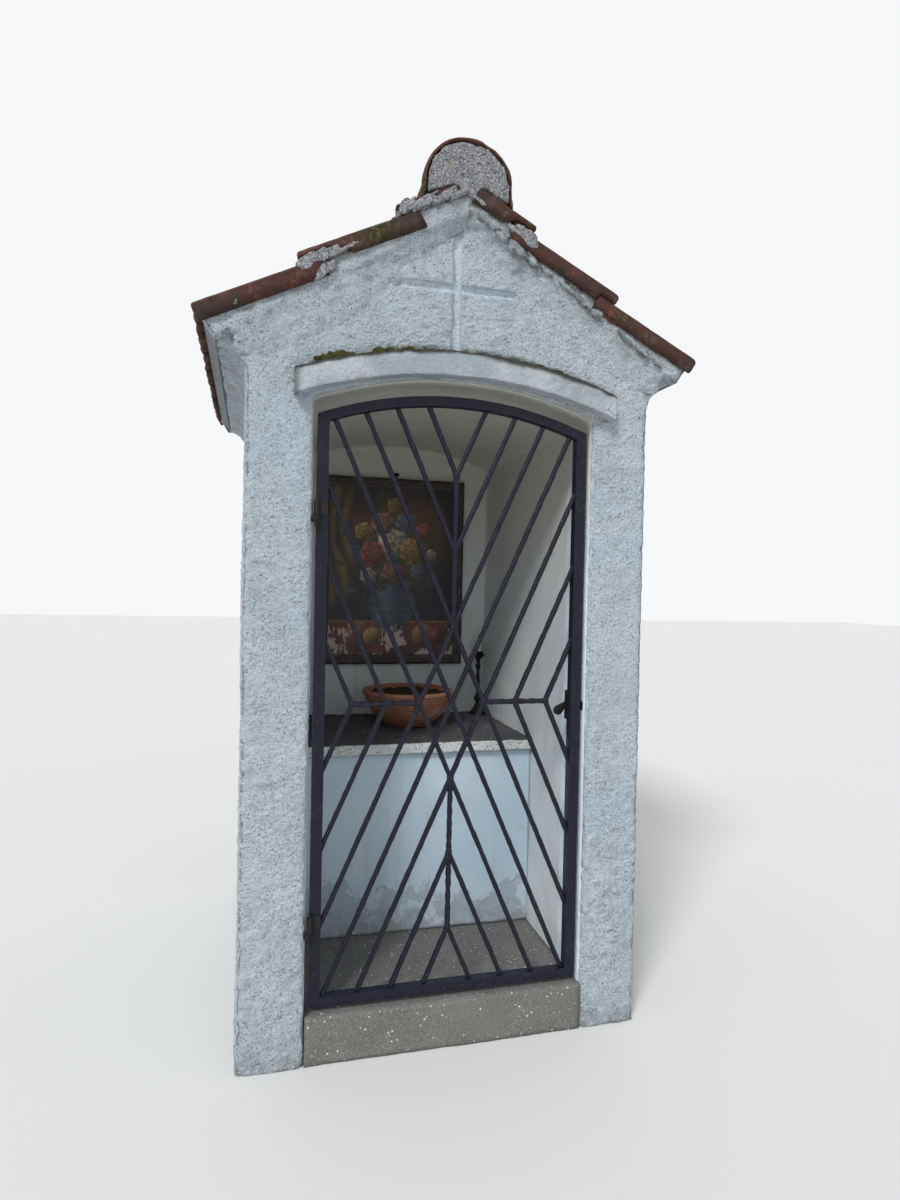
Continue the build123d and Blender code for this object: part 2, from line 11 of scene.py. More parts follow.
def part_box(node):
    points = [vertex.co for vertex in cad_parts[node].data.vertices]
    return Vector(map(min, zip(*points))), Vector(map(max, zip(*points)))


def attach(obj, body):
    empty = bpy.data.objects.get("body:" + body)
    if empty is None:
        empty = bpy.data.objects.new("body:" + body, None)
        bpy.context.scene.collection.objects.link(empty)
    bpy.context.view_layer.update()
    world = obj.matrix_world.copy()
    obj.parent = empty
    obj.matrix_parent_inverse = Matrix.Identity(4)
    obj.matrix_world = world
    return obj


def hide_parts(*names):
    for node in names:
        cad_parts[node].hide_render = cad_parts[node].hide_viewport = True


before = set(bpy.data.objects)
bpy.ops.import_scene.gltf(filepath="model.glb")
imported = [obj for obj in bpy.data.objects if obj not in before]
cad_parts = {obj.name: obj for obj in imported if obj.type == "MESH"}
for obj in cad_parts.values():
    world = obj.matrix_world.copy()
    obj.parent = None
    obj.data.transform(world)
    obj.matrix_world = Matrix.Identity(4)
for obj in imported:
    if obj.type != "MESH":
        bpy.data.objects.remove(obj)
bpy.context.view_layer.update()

# Camera of the photograph's view: place in metres, turn in degrees, lens and sensor in millimetres
CAMERA_PLACE = Vector((-0.619, -2.917, 1.456))
CAMERA_YAW = 14.9
CAMERA_PITCH = -1.0
CAMERA_ROLL = 1.2
CAMERA_LENS = 22.26
CAMERA_SENSOR = 36

# Sizes in metres that the scene shares with the solids
WALL_LOW, WALL_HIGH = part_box("left_wall")
NICHE_X = -WALL_HIGH.x
OUTER_X = -WALL_LOW.x
FRONT_Y = WALL_LOW.y
BACK_Y = WALL_HIGH.y
SPRINGING_Z = WALL_HIGH.z
NICHE_BACK_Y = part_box("back_wall")[0].y
FLOOR_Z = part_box("floor_slab")[1].z
VAULT_THICKNESS = 0.11
CROWN_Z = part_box("vault")[1].z - VAULT_THICKNESS
LINTEL_INNER_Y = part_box("arch_lintel")[1].y
GABLE_PEAK_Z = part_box("front_gable")[1].z
ROOF_PITCH = math.radians(32)
ARCH_RISE = CROWN_Z - SPRINGING_Z
ARCH_RADIUS = (NICHE_X**2 + ARCH_RISE**2) / (2 * ARCH_RISE)


def hashed(cells, seed):
    # Repeatable random value of -1 to 1 for each whole-numbered cell.
    n = (cells @ np.array((374761393, 668265263, 1103515245)) + seed * 974634777) & 0xFFFFFFFF
    n = ((n ^ (n >> 13)) * 1274126177) & 0xFFFFFFFF
    n = n ^ (n >> 16)
    return (n & 0xFFFFFF) / 0x7FFFFF - 1


def field(points, size, seed):
    # Smooth random field with lumps of a given size.
    scaled = points / size + seed * 7.31
    cells = np.floor(scaled).astype(np.int64)
    part = scaled - cells
    ease = part * part * (3 - 2 * part)
    total = np.zeros(len(points))
    for corner in itertools.product((0, 1), repeat=3):
        weight = np.prod(np.where(corner, ease, 1 - ease), axis=1)
        total += weight * hashed(cells + np.array(corner), seed)
    return total


def layered(points, size, seed, layers=3, gain=0.5):
    # Random field whose layers halve in size.
    total = np.zeros(len(points))
    for layer in range(layers):
        total += gain**layer * field(points, np.asarray(size) / 2**layer, seed + layer)
    return total


def step(values, low, high):
    # Smooth step from 0 at low to 1 at high.
    t = np.clip((values - low) / (high - low), 0, 1)
    return t * t * (3 - 2 * t)


def quad_mesh(name, points, quads, values=None):
    # Mesh of quads, smooth shaded, with its point values stored as attributes.
    mesh = bpy.data.meshes.new(name)
    mesh.vertices.add(len(points))
    mesh.vertices.foreach_set("co", np.asarray(points, np.float32).ravel())
    mesh.loops.add(quads.size)
    mesh.loops.foreach_set("vertex_index", quads.astype(np.int32).ravel())
    mesh.polygons.add(len(quads))
    mesh.polygons.foreach_set("loop_start", np.arange(0, quads.size, 4, dtype=np.int32))
    mesh.polygons.foreach_set("use_smooth", np.ones(len(quads), bool))
    mesh.update(calc_edges=True)
    for key, amounts in (values or {}).items():
        store(mesh, key, amounts)
    return mesh


def store(mesh, key, amounts):
    amounts = np.asarray(amounts, np.float32)
    if amounts.ndim == 1:
        layer = mesh.attributes.new(key, "FLOAT", "POINT")
        layer.data.foreach_set("value", amounts)
    else:
        layer = mesh.color_attributes.new(key, "FLOAT_COLOR", "POINT")
        rgba = np.ones((len(amounts), 4), np.float32)
        rgba[:, :3] = amounts
        layer.data.foreach_set("color", rgba.ravel())


def add_object(name, mesh, material, nodes=(), body="masonry"):
    # Piece of the shrine that rides on a body and may stand for CAD nodes.
    obj = bpy.data.objects.new(name, mesh)
    bpy.context.scene.collection.objects.link(obj)
    mesh.materials.append(material)
    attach(obj, body)
    if nodes:
        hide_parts(*nodes)


def add_piece(name, shape, material, nodes=(), body="masonry"):
    # Piece from its points, quads and, if it has them, point values.
    add_object(name, quad_mesh(name, *shape), material, nodes, body)


def foot_of(node):
    # Middle of the underside of a CAD node's box, half its width, and its height.
    low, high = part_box(node)
    centre = np.array(((low.x + high.x) / 2, (low.y + high.y) / 2, low.z))
    return centre, (high.x - low.x) / 2, high.z - low.z


def read(mesh, key):
    amounts = np.empty(len(mesh.vertices) * 3, np.float32)
    mesh.vertices.foreach_get(key, amounts)
    return amounts.reshape(-1, 3).astype(float)


def remesh(shape, voxel):
    # Even quads over a closed shape, as arrays of points, normals and quads.
    mesh = bpy.data.meshes.new("remesh")
    shape.to_mesh(mesh)
    shape.free()
    obj = bpy.data.objects.new("remesh", mesh)
    bpy.context.scene.collection.objects.link(obj)
    modifier = obj.modifiers.new("remesh", "REMESH")
    modifier.mode = "VOXEL"
    modifier.voxel_size = voxel
    result = bpy.data.meshes.new_from_object(obj.evaluated_get(bpy.context.evaluated_depsgraph_get()))
    points, normals = read(result, "co"), read(result, "normal")
    quads = np.empty(len(result.loops), np.int32)
    result.loops.foreach_get("vertex_index", quads)
    bpy.data.objects.remove(obj)
    bpy.data.meshes.remove(result)
    bpy.data.meshes.remove(mesh)
    return points, normals, quads.reshape(-1, 4)


def pour(part, shape):
    # Adds one bmesh to another.
    holder = bpy.data.meshes.new("part")
    part.to_mesh(holder)
    part.free()
    shape.from_mesh(holder)
    bpy.data.meshes.remove(holder)


def solids(nodes, grow=0.0008, front=None, back=None):
    # CAD nodes' shapes in one bmesh, each a hair larger, cut off in front of or behind a depth.
    shape = bmesh.new()
    for node in nodes:
        part = bmesh.new()
        part.from_mesh(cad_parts[node].data)
        bmesh.ops.remove_doubles(part, verts=part.verts, dist=1e-6)
        low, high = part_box(node)
        centre = (low + high) / 2
        for vert in part.verts:
            for axis in range(3):
                half = (high[axis] - low[axis]) / 2
                vert.co[axis] = centre[axis] + (vert.co[axis] - centre[axis]) * (1 + grow / half)
        for depth, side in ((front, -1), (back, 1)):
            if depth is None or not part.verts:
                continue
            cut = bmesh.ops.bisect_plane(
                part, geom=[*part.verts, *part.edges, *part.faces], plane_co=(0, depth, 0),
                plane_no=(0, side, 0), clear_outer=True)
            edges = [item for item in cut["geom_cut"] if isinstance(item, bmesh.types.BMEdge)]
            if edges:
                bmesh.ops.triangle_fill(part, use_beauty=True, edges=edges)
        bmesh.ops.recalc_face_normals(part, faces=part.faces)
        pour(part, shape)
    return shape


def cut_piece(points, quads, keep, values):
    # Mesh of the kept quads that is still shaded as part of the whole surface.
    normals = vertex_normals(points, quads)
    used, renumbered = np.unique(quads[keep], return_inverse=True)
    values = {key: amounts[used] for key, amounts in values.items()}
    mesh = quad_mesh("cut", points[used], renumbered.reshape(-1, 4), values)
    mesh.normals_split_custom_set_from_vertices(normals[used])
    return mesh


class Paint:
    """Material built up coat by coat from short calls; it works in the object's own coordinates."""

    def __init__(self, name):
        self.material = bpy.data.materials.new(name)
        self.material.use_nodes = True
        self.tree = self.material.node_tree
        self.shader = self.tree.nodes["Principled BSDF"]
        self.place = self.node("ShaderNodeTexCoord").outputs["Object"]
        self.colour = None

    def node(self, kind, **settings):
        made = self.tree.nodes.new(kind)
        for key, value in settings.items():
            setattr(made, key, value)
        return made

    def feed(self, socket, value):
        if isinstance(value, bpy.types.NodeSocket):
            self.tree.links.new(value, socket)
        elif isinstance(value, (tuple, list)):
            socket.default_value = (*value, 1) if len(socket.default_value) == 4 else value
        else:
            socket.default_value = value

    def feed_all(self, node, **values):
        for key, value in values.items():
            self.feed(node.inputs[key], value)

    def stretched(self, stretch, shift=0.0):
        mapping = self.node("ShaderNodeMapping")
        self.feed_all(mapping, Vector=self.place, Scale=stretch, Location=(shift, shift, shift))
        return mapping.outputs["Vector"]

    def noise(self, scale, detail, rough=0.6, stretch=(1, 1, 1), shift=0.0):
        made = self.node("ShaderNodeTexNoise")
        place = self.stretched(stretch, shift)
        self.feed_all(made, Vector=place, Scale=scale, Detail=detail, Roughness=rough)
        return made.outputs["Fac"]

    def cells(self, scale, feature="F1", stretch=(1, 1, 1), out="Distance"):
        made = self.node("ShaderNodeTexVoronoi", feature=feature)
        self.feed_all(made, Vector=self.stretched(stretch), Scale=scale)
        return made.outputs[out]

    def level(self, value, low, high, to_low=0.0, to_high=1.0):
        made = self.node("ShaderNodeMapRange", interpolation_type="SMOOTHSTEP")
        for socket, amount in zip(made.inputs[:5], (value, low, high, to_low, to_high)):
            self.feed(socket, amount)
        return made.outputs["Result"]

    def patch(self, scale, detail, low, high, rough=0.6, stretch=(1, 1, 1), shift=0.0, top=1.0):
        # Share of a coat where noise rises from low to high.
        return self.level(self.noise(scale, detail, rough, stretch, shift), low, high, 0.0, top)

    def spots(self, scale, outer, inner, stretch=(1, 1, 1)):
        # Round spots at the middle of cells.
        return self.level(self.cells(scale, "F1", stretch), outer, inner)

    def cracks(self, scale, outer, inner, stretch=(1, 1, 1)):
        # Thin lines along the edges of cells.
        return self.level(self.cells(scale, "DISTANCE_TO_EDGE", stretch), outer, inner)

    def math(self, operation, first, second):
        made = self.node("ShaderNodeMath", operation=operation)
        self.feed(made.inputs[0], first)
        self.feed(made.inputs[1], second)
        return made.outputs[0]

    def plus(self, first, second):
        return self.math("ADD", first, second)

    def minus(self, first, second):
        return self.math("SUBTRACT", first, second)

    def times(self, *values):
        total = values[0]
        for value in values[1:]:
            total = self.math("MULTIPLY", total, value)
        return total

    def mix(self, amount, first, second):
        made = self.node("ShaderNodeMix", data_type="RGBA")
        for index, value in ((0, amount), (6, first), (7, second)):
            self.feed(made.inputs[index], value)
        return made.outputs[2]

    def lay(self, tint, *amounts):
        # One more coat over the colour so far, as strong as its amounts multiplied.
        self.colour = self.mix(self.times(*amounts), self.colour, tint)

    def stored(self, key, out="Fac"):
        return self.node("ShaderNodeAttribute", attribute_name=key).outputs[out]

    def axis(self, name):
        made = self.node("ShaderNodeSeparateXYZ")
        self.feed(made.inputs[0], self.place)
        return made.outputs[name]

    def gloss(self, noise, least, most):
        # Roughness that wanders between two values with a noise.
        return self.level(noise, 0.3, 0.7, least, most)

    def finish(self, roughness, height=None, depth=0.0, strength=0.0, specular=0.5):
        # Last wiring. Roughness is a value, a socket or the (scale, detail, least, most) of its noise.
        if isinstance(roughness, tuple):
            scale, detail, least, most = roughness
            roughness = self.gloss(self.noise(scale, detail), least, most)
        self.feed(self.shader.inputs["Base Color"], self.colour)
        self.feed(self.shader.inputs["Roughness"], roughness)
        self.shader.inputs["Specular IOR Level"].default_value = specular
        if height is not None:
            bump = self.node("ShaderNodeBump")
            self.feed_all(bump, Strength=strength, Distance=depth, Height=height)
            self.tree.links.new(bump.outputs["Normal"], self.shader.inputs["Normal"])
        return self.material


# Painted shade and warm reflected light high in the niche, growing between two heights.
PAINTED_VAULT_SHADE = (0.60, 0.585, 0.50)
VAULT_SHADE_FROM_Z, VAULT_SHADE_TO_Z = 1.35, 2.05
PALE_FLECK = (0.72, 0.72, 0.70)


def toned(shades, tint):
    return [tuple(a * b for a, b in zip(shade, tint)) for shade in shades]


def roughcast_material():
    # Thrown render under limewash: pale and bluish, with painted shade in its pits and hollows, dirt and
    # painted shade near the verges and the hood, painted warm shade high in the niche, and bare spots.
    p = Paint("roughcast")
    smooth = p.stored("smooth")
    grime_and_shade = p.stored("grime_and_shade")
    cast = p.minus(1.0, smooth)
    p.colour = p.mix(p.patch(2.3, 3, 0.35, 0.68), (0.745, 0.86, 0.965), (0.82, 0.91, 0.98))
    p.lay((0.61, 0.70, 0.775), p.patch(9, 5, 0.42, 0.7, stretch=(1, 1, 0.45), top=0.45))
    # Painted shade in the hollows of the render's relief.
    p.lay((0.40, 0.44, 0.47), p.level(p.stored("relief"), 0.5, 0.12), cast, 0.25)
    p.lay((0.175, 0.215, 0.255), p.patch(205, 2, 0.585, 0.63, 0.5), p.patch(12, 4, 0.30, 0.54), cast, 0.75)
    # Painted warm shade high up on the smooth render inside the niche.
    p.lay(PAINTED_VAULT_SHADE, p.level(smooth, 0.5, 0.9), p.level(p.axis("Z"), VAULT_SHADE_FROM_Z, VAULT_SHADE_TO_Z), 0.85)
    grain = p.noise(105, 6, 0.72, (1, 1, 1.25))
    # Painted shade where the fine grain dips, the same grain that drives the bump.
    p.lay((0.30, 0.365, 0.425), p.level(grain, 0.48, 0.33), cast, 0.52)
    # Painted shadow in small pits, which the bump also sinks.
    pits = p.times(p.spots(66, 0.20, 0.08, (1, 1, 1.2)), p.patch(9, 3, 0.38, 0.54, shift=4.0), cast)
    p.lay((0.13, 0.13, 0.12), pits, 0.75)
    # Dirt, with painted shade under the verges and along the hood.
    p.lay((0.235, 0.235, 0.18), grime_and_shade, p.patch(26, 6, 0.32, 0.6, 0.7), 0.85)
    p.lay((0.075, 0.07, 0.05), p.level(grime_and_shade, 0.55, 1.0), p.patch(60, 5, 0.42, 0.58, 0.7), 0.8)
    p.lay((0.33, 0.35, 0.355), p.stored("worn"), p.patch(34, 5, 0.44, 0.52, 0.65, shift=9.0), 0.9)
    grains = p.level(p.cells(82, "SMOOTH_F1", (1, 1, 1.2)), 0.0, 0.8, 1.0, 0.0)
    thrown = p.minus(p.plus(grain, p.times(grains, 0.30)), p.times(pits, 0.25))
    height = p.mix(smooth, thrown, p.times(p.noise(90, 4, 0.5), 0.2))
    return p.finish((40, 3, 0.86, 0.96), height, 0.024, 1.0, 0.2)


def limewash_material(name, vault_shade=False, peel=None, tint=(1, 1, 1)):
    # Brushed limewash with hair cracks, specks and runs; painted warm shade under a vault, or peeling at its
    # foot.
    p = Paint(name)
    cool, pale = toned(((0.66, 0.71, 0.735), (0.74, 0.765, 0.765)), tint)
    p.colour = p.mix(p.patch(3.2, 4, 0.35, 0.7), cool, pale)
    p.lay((0.62, 0.655, 0.655), p.patch(14, 5, 0.45, 0.75, stretch=(1, 1, 0.25), top=0.35))
    if vault_shade:
        # Painted warm shade under the vault.
        p.lay(PAINTED_VAULT_SHADE, p.level(p.axis("Z"), VAULT_SHADE_FROM_Z, VAULT_SHADE_TO_Z), 0.85)
    cracks = p.times(p.cracks(5.5, 0.012, 0.003, (1, 1, 0.8)), p.patch(3.5, 4, 0.56, 0.66, shift=3.0))
    p.lay((0.38, 0.38, 0.35), cracks, 0.22)
    p.lay((0.07, 0.065, 0.06), p.spots(48, 0.085, 0.045), p.patch(7, 3, 0.52, 0.62, shift=2.0), 0.85)
    p.lay((0.45, 0.46, 0.43), p.patch(11, 6, 0.56, 0.72, 0.7, shift=6.0), 0.45)
    p.lay((0.50, 0.51, 0.46), p.patch(22, 4, 0.56, 0.72, stretch=(1, 1, 0.06), shift=9.0), 0.35)
    height = p.minus(p.noise(60, 4, 0.5), p.times(cracks, 0.6))
    if peel:
        low, high = peel
        edge = p.plus(p.noise(6.5, 6, 0.62, shift=1.7), p.level(p.axis("Z"), low, high, 0.11, -0.33))
        edge = p.plus(edge, p.level(p.axis("X"), -0.42, 0.10, 0.085, -0.03))
        bare = p.level(edge, 0.535, 0.55)
        p.lay(p.mix(p.noise(45, 5), (0.27, 0.34, 0.45), (0.50, 0.56, 0.61)), bare, 0.8)
        p.lay((0.30, 0.30, 0.27), p.level(edge, 0.515, 0.54), p.minus(1.0, bare), 0.5)
        p.lay((0.30, 0.31, 0.28), p.level(p.axis("Z"), low + 0.14, low), p.patch(30, 5, 0.35, 0.6), 0.7)
        height = p.minus(height, p.times(bare, 0.9))
    return p.finish((30, 3, 0.78, 0.92), height, 0.0014, 0.7, 0.3)


def hood_material():
    # Weathered limewash of the hood: grey-blue patches, painted shade in its grain, and a top edge darkened
    # by dirt and painted shade.
    p = Paint("hood_limewash")
    p.colour = p.mix(p.patch(5, 5, 0.38, 0.62, 0.65), (0.43, 0.49, 0.535), (0.60, 0.65, 0.685))
    p.lay((0.42, 0.45, 0.47), p.patch(16, 6, 0.50, 0.68, 0.7, shift=2.0, top=0.55))
    grain = p.noise(95, 6, 0.72)
    # Painted shade where the grain dips, the same grain that drives the bump.
    p.lay((0.33, 0.36, 0.38), p.level(grain, 0.44, 0.32, 0, 0.45))
    p.lay((0.16, 0.165, 0.16), p.patch(210, 3, 0.6, 0.67), p.patch(14, 3, 0.35, 0.6), 0.8)
    p.lay((0.31, 0.335, 0.35), p.stored("worn"), p.patch(26, 5, 0.46, 0.54, 0.65, shift=9.0), 0.7)
    # Dirt and painted shade along the hood's top edge.
    p.lay((0.040, 0.036, 0.028), p.stored("grime_and_shade"), p.patch(38, 6, 0.28, 0.42, 0.7), 0.95)
    cracks = p.times(p.cracks(6.5, 0.014, 0.004, (1, 1, 1.6)), p.patch(2.5, 3, 0.52, 0.62, shift=5.0))
    p.lay((0.16, 0.16, 0.15), cracks, 0.5)
    return p.finish((30, 3, 0.82, 0.95), p.minus(grain, p.times(cracks, 0.3)), 0.015, 0.9, 0.2)


def concrete_material():
    p = Paint("concrete")
    p.colour = p.mix(p.noise(7, 6, 0.65), (0.085, 0.085, 0.080), (0.20, 0.195, 0.185))
    p.lay((0.36, 0.355, 0.33), p.patch(240, 3, 0.45, 0.62), 0.4)
    flecks = p.times(p.spots(58, 0.24, 0.12), p.patch(20, 3, 0.46, 0.58, shift=5.0))
    p.lay(PALE_FLECK, flecks, 0.9)
    height = p.plus(p.noise(160, 5, 0.7), p.times(flecks, 0.4))
    return p.finish((25, 3, 0.78, 0.95), height, 0.0025, 0.8, 0.3)


def slab_material(edge_y):
    # Altar slab: grey concrete top, and a thickly limewashed front edge with dirt along it.
    p = Paint("altar_slab_concrete")
    p.colour = p.mix(p.noise(6, 6, 0.65), (0.048, 0.049, 0.053), (0.125, 0.125, 0.13))
    p.lay(PALE_FLECK, p.spots(62, 0.22, 0.1), p.patch(15, 3, 0.5, 0.62, shift=5.0), 0.9)
    edge = p.mix(p.noise(18, 5), (0.60, 0.64, 0.645), (0.74, 0.76, 0.75))
    edge = p.mix(p.times(p.patch(120, 5, 0.53, 0.60, 0.75), 0.85), edge, (0.13, 0.125, 0.10))
    p.lay(edge, p.level(p.plus(p.axis("Y"), p.times(p.noise(30, 4), 0.02)), edge_y + 0.030, edge_y + 0.012))
    return p.finish(0.88, p.noise(120, 5, 0.7), 0.003, 0.8, 0.3)


def mortar_material(name, light=1.0):
    # Coarse lime mortar with pale and dark pebbles and yellow lichen.
    p = Paint(name)
    dark, pale = toned(((0.145, 0.15, 0.165), (0.32, 0.33, 0.35)), (light, light, light))
    p.colour = p.mix(p.noise(11, 6, 0.7), dark, pale)
    pebbles = p.node("ShaderNodeSeparateColor")
    p.feed(pebbles.inputs[0], p.cells(210, out="Color"))
    p.lay((0.55, 0.56, 0.58), p.level(pebbles.outputs[0], 0.5, 0.98, 0, 0.55))
    p.lay((0.060, 0.060, 0.062), p.level(pebbles.outputs[1], 0.62, 0.95, 0, 0.75))
    p.lay((0.33, 0.31, 0.17), p.patch(17, 5, 0.63, 0.70, shift=8.0), 0.5)
    return p.finish(0.95, p.minus(p.noise(90, 4, 0.7), p.times(p.cells(210), 0.7)), 0.006, 0.9, 0.2)


def clay_material():
    # Weathered clay: orange where rubbed, brown and black with age, with lichen and moss in the low places.
    p = Paint("clay_tile")
    p.colour = p.mix(p.stored("tone"), (0.098, 0.037, 0.029), (0.168, 0.062, 0.043))
    p.lay((0.064, 0.031, 0.026), p.patch(12, 6, 0.38, 0.62, 0.65, (0.5, 1, 0.5)))
    p.lay((0.22, 0.145, 0.115), p.patch(24, 6, 0.52, 0.66, 0.7, shift=5.0), 0.4)
    p.lay((0.31, 0.115, 0.068), p.patch(38, 5, 0.56, 0.66, 0.7, shift=3.0), p.stored("edge"), 0.7)
    p.lay((0.040, 0.033, 0.030), p.patch(6, 6, 0.43, 0.62, 0.7, shift=7.0), 0.82)
    p.lay((0.36, 0.355, 0.30), p.patch(48, 4, 0.64, 0.69, shift=1.0), p.patch(5, 3, 0.46, 0.62), 0.6)
    moss = p.times(p.stored("moss"), p.patch(70, 5, 0.4, 0.56, 0.7, shift=2.0))
    p.lay((0.085, 0.10, 0.03), moss)
    return p.finish((50, 3, 0.78, 0.95), p.plus(p.noise(110, 6, 0.75), p.times(moss, 1.2)), 0.005, 0.9, 0.2)


def moss_material():
    p = Paint("moss")
    p.colour = p.mix(p.noise(90, 5, 0.7), (0.035, 0.04, 0.014), (0.13, 0.12, 0.045))
    p.lay((0.16, 0.10, 0.04), p.patch(35, 3, 0.55, 0.7, shift=4.0))
    return p.finish(1.0, p.noise(420, 4, 0.8), 0.005, 1.0, 0.1)


def wood_material():
    p = Paint("frame_wood")
    across = p.noise(26, 6, 0.65, (1, 1, 0.06))
    p.colour = p.mix(across, (0.026, 0.020, 0.019), (0.068, 0.048, 0.042))
    p.lay((0.12, 0.095, 0.085), p.patch(14, 4, 0.55, 0.72, shift=5.0, top=0.6))
    p.lay((0.30, 0.27, 0.23), p.patch(120, 3, 0.6, 0.68), 0.4)
    return p.finish(p.gloss(across, 0.42, 0.68), across, 0.0012, 0.6)


def canvas_material():
    # Oil paint on panel: the painted tones, with craquelure, flaked ground and dulled varnish.
    p = Paint("painted_canvas")
    p.colour = p.stored("tint", "Color")
    flaked = p.stored("flaked")
    p.lay((0.02, 0.018, 0.018), p.cracks(70, 0.05, 0.01), p.patch(9, 3, 0.35, 0.6), 0.5)
    p.lay((0.01, 0.01, 0.012), p.patch(320, 3, 0.4, 0.7, top=0.25))
    flakes = p.level(p.plus(p.noise(55, 5, 0.75, (1, 1, 0.55)), p.times(flaked, 0.42)), 0.79, 0.83)
    p.lay((0.52, 0.45, 0.40), flakes, p.level(flaked, 0.05, 0.3))
    height = p.minus(p.noise(240, 4), p.times(flakes, 0.9))
    return p.finish(p.level(flakes, 0.0, 1.0, 0.45, 0.9), height, 0.0009, 0.7)


def terracotta_material():
    p = Paint("terracotta")
    p.colour = p.mix(p.noise(18, 5), (0.30, 0.125, 0.075), (0.46, 0.215, 0.135))
    p.lay((0.52, 0.42, 0.35), p.patch(10, 5, 0.55, 0.72, 0.65, shift=4.0), 0.5)
    p.lay((0.12, 0.06, 0.04), p.patch(22, 5, 0.56, 0.68, 0.7, shift=7.0), 0.6)
    # Painted shade in the grooves between the ribs.
    p.lay((0.095, 0.042, 0.03), p.stored("groove"), 0.85)
    return p.finish((40, 3, 0.7, 0.92), p.noise(190, 4), 0.0012, 0.7, 0.3)


def soil_material():
    p = Paint("soil")
    p.colour = p.mix(p.noise(70, 6, 0.7), (0.022, 0.016, 0.012), (0.10, 0.072, 0.05))
    p.lay((0.25, 0.19, 0.11), p.patch(260, 3, 0.62, 0.68, stretch=(1, 0.3, 1)), 0.7)
    return p.finish(1.0, p.noise(240, 5, 0.75), 0.004, 1.0, 0.1)


def iron_material():
    p = Paint("black_iron")
    p.colour = p.mix(p.noise(35, 5), (0.006, 0.006, 0.008), (0.018, 0.017, 0.018))
    p.lay((0.10, 0.045, 0.022), p.patch(28, 6, 0.60, 0.70, 0.7, shift=3.0), 0.65)
    return p.finish((55, 4, 0.36, 0.62), p.noise(160, 4), 0.0012, 0.6, 0.25)


def gate_material():
    # Dark blue-black gloss paint on forged bars, dulled by dust and chipped to rust at a few spots.
    p = Paint("gate_paint")
    p.colour = p.mix(p.noise(9, 4), (0.0065, 0.0065, 0.015), (0.014, 0.014, 0.027))
    p.lay((0.050, 0.052, 0.068), p.patch(60, 5, 0.52, 0.7, 0.7, shift=2.0), 0.3)
    chips = p.times(p.patch(75, 5, 0.64, 0.67, 0.7, shift=6.0), p.patch(3.3, 3, 0.53, 0.62, shift=1.0))
    p.lay((0.11, 0.048, 0.025), chips, 0.85)
    height = p.minus(p.noise(55, 4), p.times(chips, 0.6))
    return p.finish(p.gloss(p.noise(30, 4, shift=8.0), 0.28, 0.46), height, 0.0020, 0.8, 0.22)


def wax_material():
    p = Paint("wax")
    p.colour = p.mix(p.noise(25, 3), (0.74, 0.73, 0.68), (0.80, 0.79, 0.75))
    p.lay((0.45, 0.44, 0.40), p.patch(60, 4, 0.56, 0.7, 0.7), 0.3)
    p.shader.inputs["Subsurface Weight"].default_value = 0.15
    p.shader.inputs["Subsurface Radius"].default_value = (0.01, 0.008, 0.006)
    return p.finish((50, 3, 0.38, 0.6), p.noise(90, 3, 0.5), 0.0008, 0.5)


ROUGHCAST = roughcast_material()
LIMEWASH = limewash_material("limewash", vault_shade=True)
ALTAR_WASH = limewash_material("altar_limewash", peel=(0.15, 0.62), tint=(0.79, 0.92, 1.04))
HOOD_WASH = hood_material()
CONCRETE = concrete_material()
SLAB = slab_material(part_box("altar_slab")[0].y)
MORTAR = mortar_material("mortar")
VERGE_MORTAR = mortar_material("verge_mortar", 1.12)
CLAY = clay_material()
MOSS = moss_material()
WOOD = wood_material()
CANVAS = canvas_material()
TERRACOTTA = terracotta_material()
SOIL = soil_material()
IRON = iron_material()
GATE_PAINT = gate_material()
WAX = wax_material()

# Materials of the CAD nodes themselves
NODE_MATERIALS = {
    CONCRETE: ("floor_slab",),
    ALTAR_WASH: ("altar_block",),
    SLAB: ("altar_slab",),
    LIMEWASH: ("hood_mould",),
    MORTAR: ("left_roof_bed", "right_roof_bed", "ridge_mortar"),
    WOOD: ("painting_frame",),
    CANVAS: ("painting_panel",),
    TERRACOTTA: ("planter_bowl",),
    SOIL: ("planter_soil",),
    WAX: ("left_candle", "right_candle"),
    IRON: ("left_candlestick", "right_candlestick", "upper_pintle", "lower_pintle", "lock_keeper",
           "upper_hinge_eye", "lower_hinge_eye", "latch_lever", "latch_bolt"),
    GATE_PAINT: ("hinge_stile", "lock_stile", "arched_head", "bottom_rail", "lattice", "lock_case"),
}


def roof_underside(x):
    return GABLE_PEAK_Z - np.abs(x) * math.tan(ROOF_PITCH)


def arc(x, centre_z, radius, reach):
    # Height of a circle's upper side over a distance from the middle, level beyond its reach.
    return centre_z + np.sqrt(np.maximum(radius**2 - np.minimum(np.abs(x), reach) ** 2, 0))


def arch_height(x):
    # Height of the niche arch over a distance from the middle.
    return arc(x, CROWN_Z - ARCH_RADIUS, ARCH_RADIUS, NICHE_X)


CROSS_X = -0.020
CROSS_LOW_Z = 2.191
CROSS_HIGH_Z = 2.569
CROSS_ARM_Z = 2.380
CROSS_ARM = 0.198
CROSS_HALF_GROOVE = 0.0105


def cross_groove(points):
    # How deep in the recessed cross each point of the front is, from 0 to 1.
    x, z = points[:, 0] - CROSS_X, points[:, 2]
    wobble = 0.002 * field(points, 0.05, 71)
    beyond = np.maximum(CROSS_LOW_Z - z, z - CROSS_HIGH_Z)
    upright = np.maximum(np.abs(x + wobble) - CROSS_HALF_GROOVE, beyond)
    arms = np.maximum(np.abs(z - CROSS_ARM_Z + wobble) - CROSS_HALF_GROOVE, np.abs(x) - CROSS_ARM)
    return step(np.minimum(upright, arms), 0.004, -0.004)


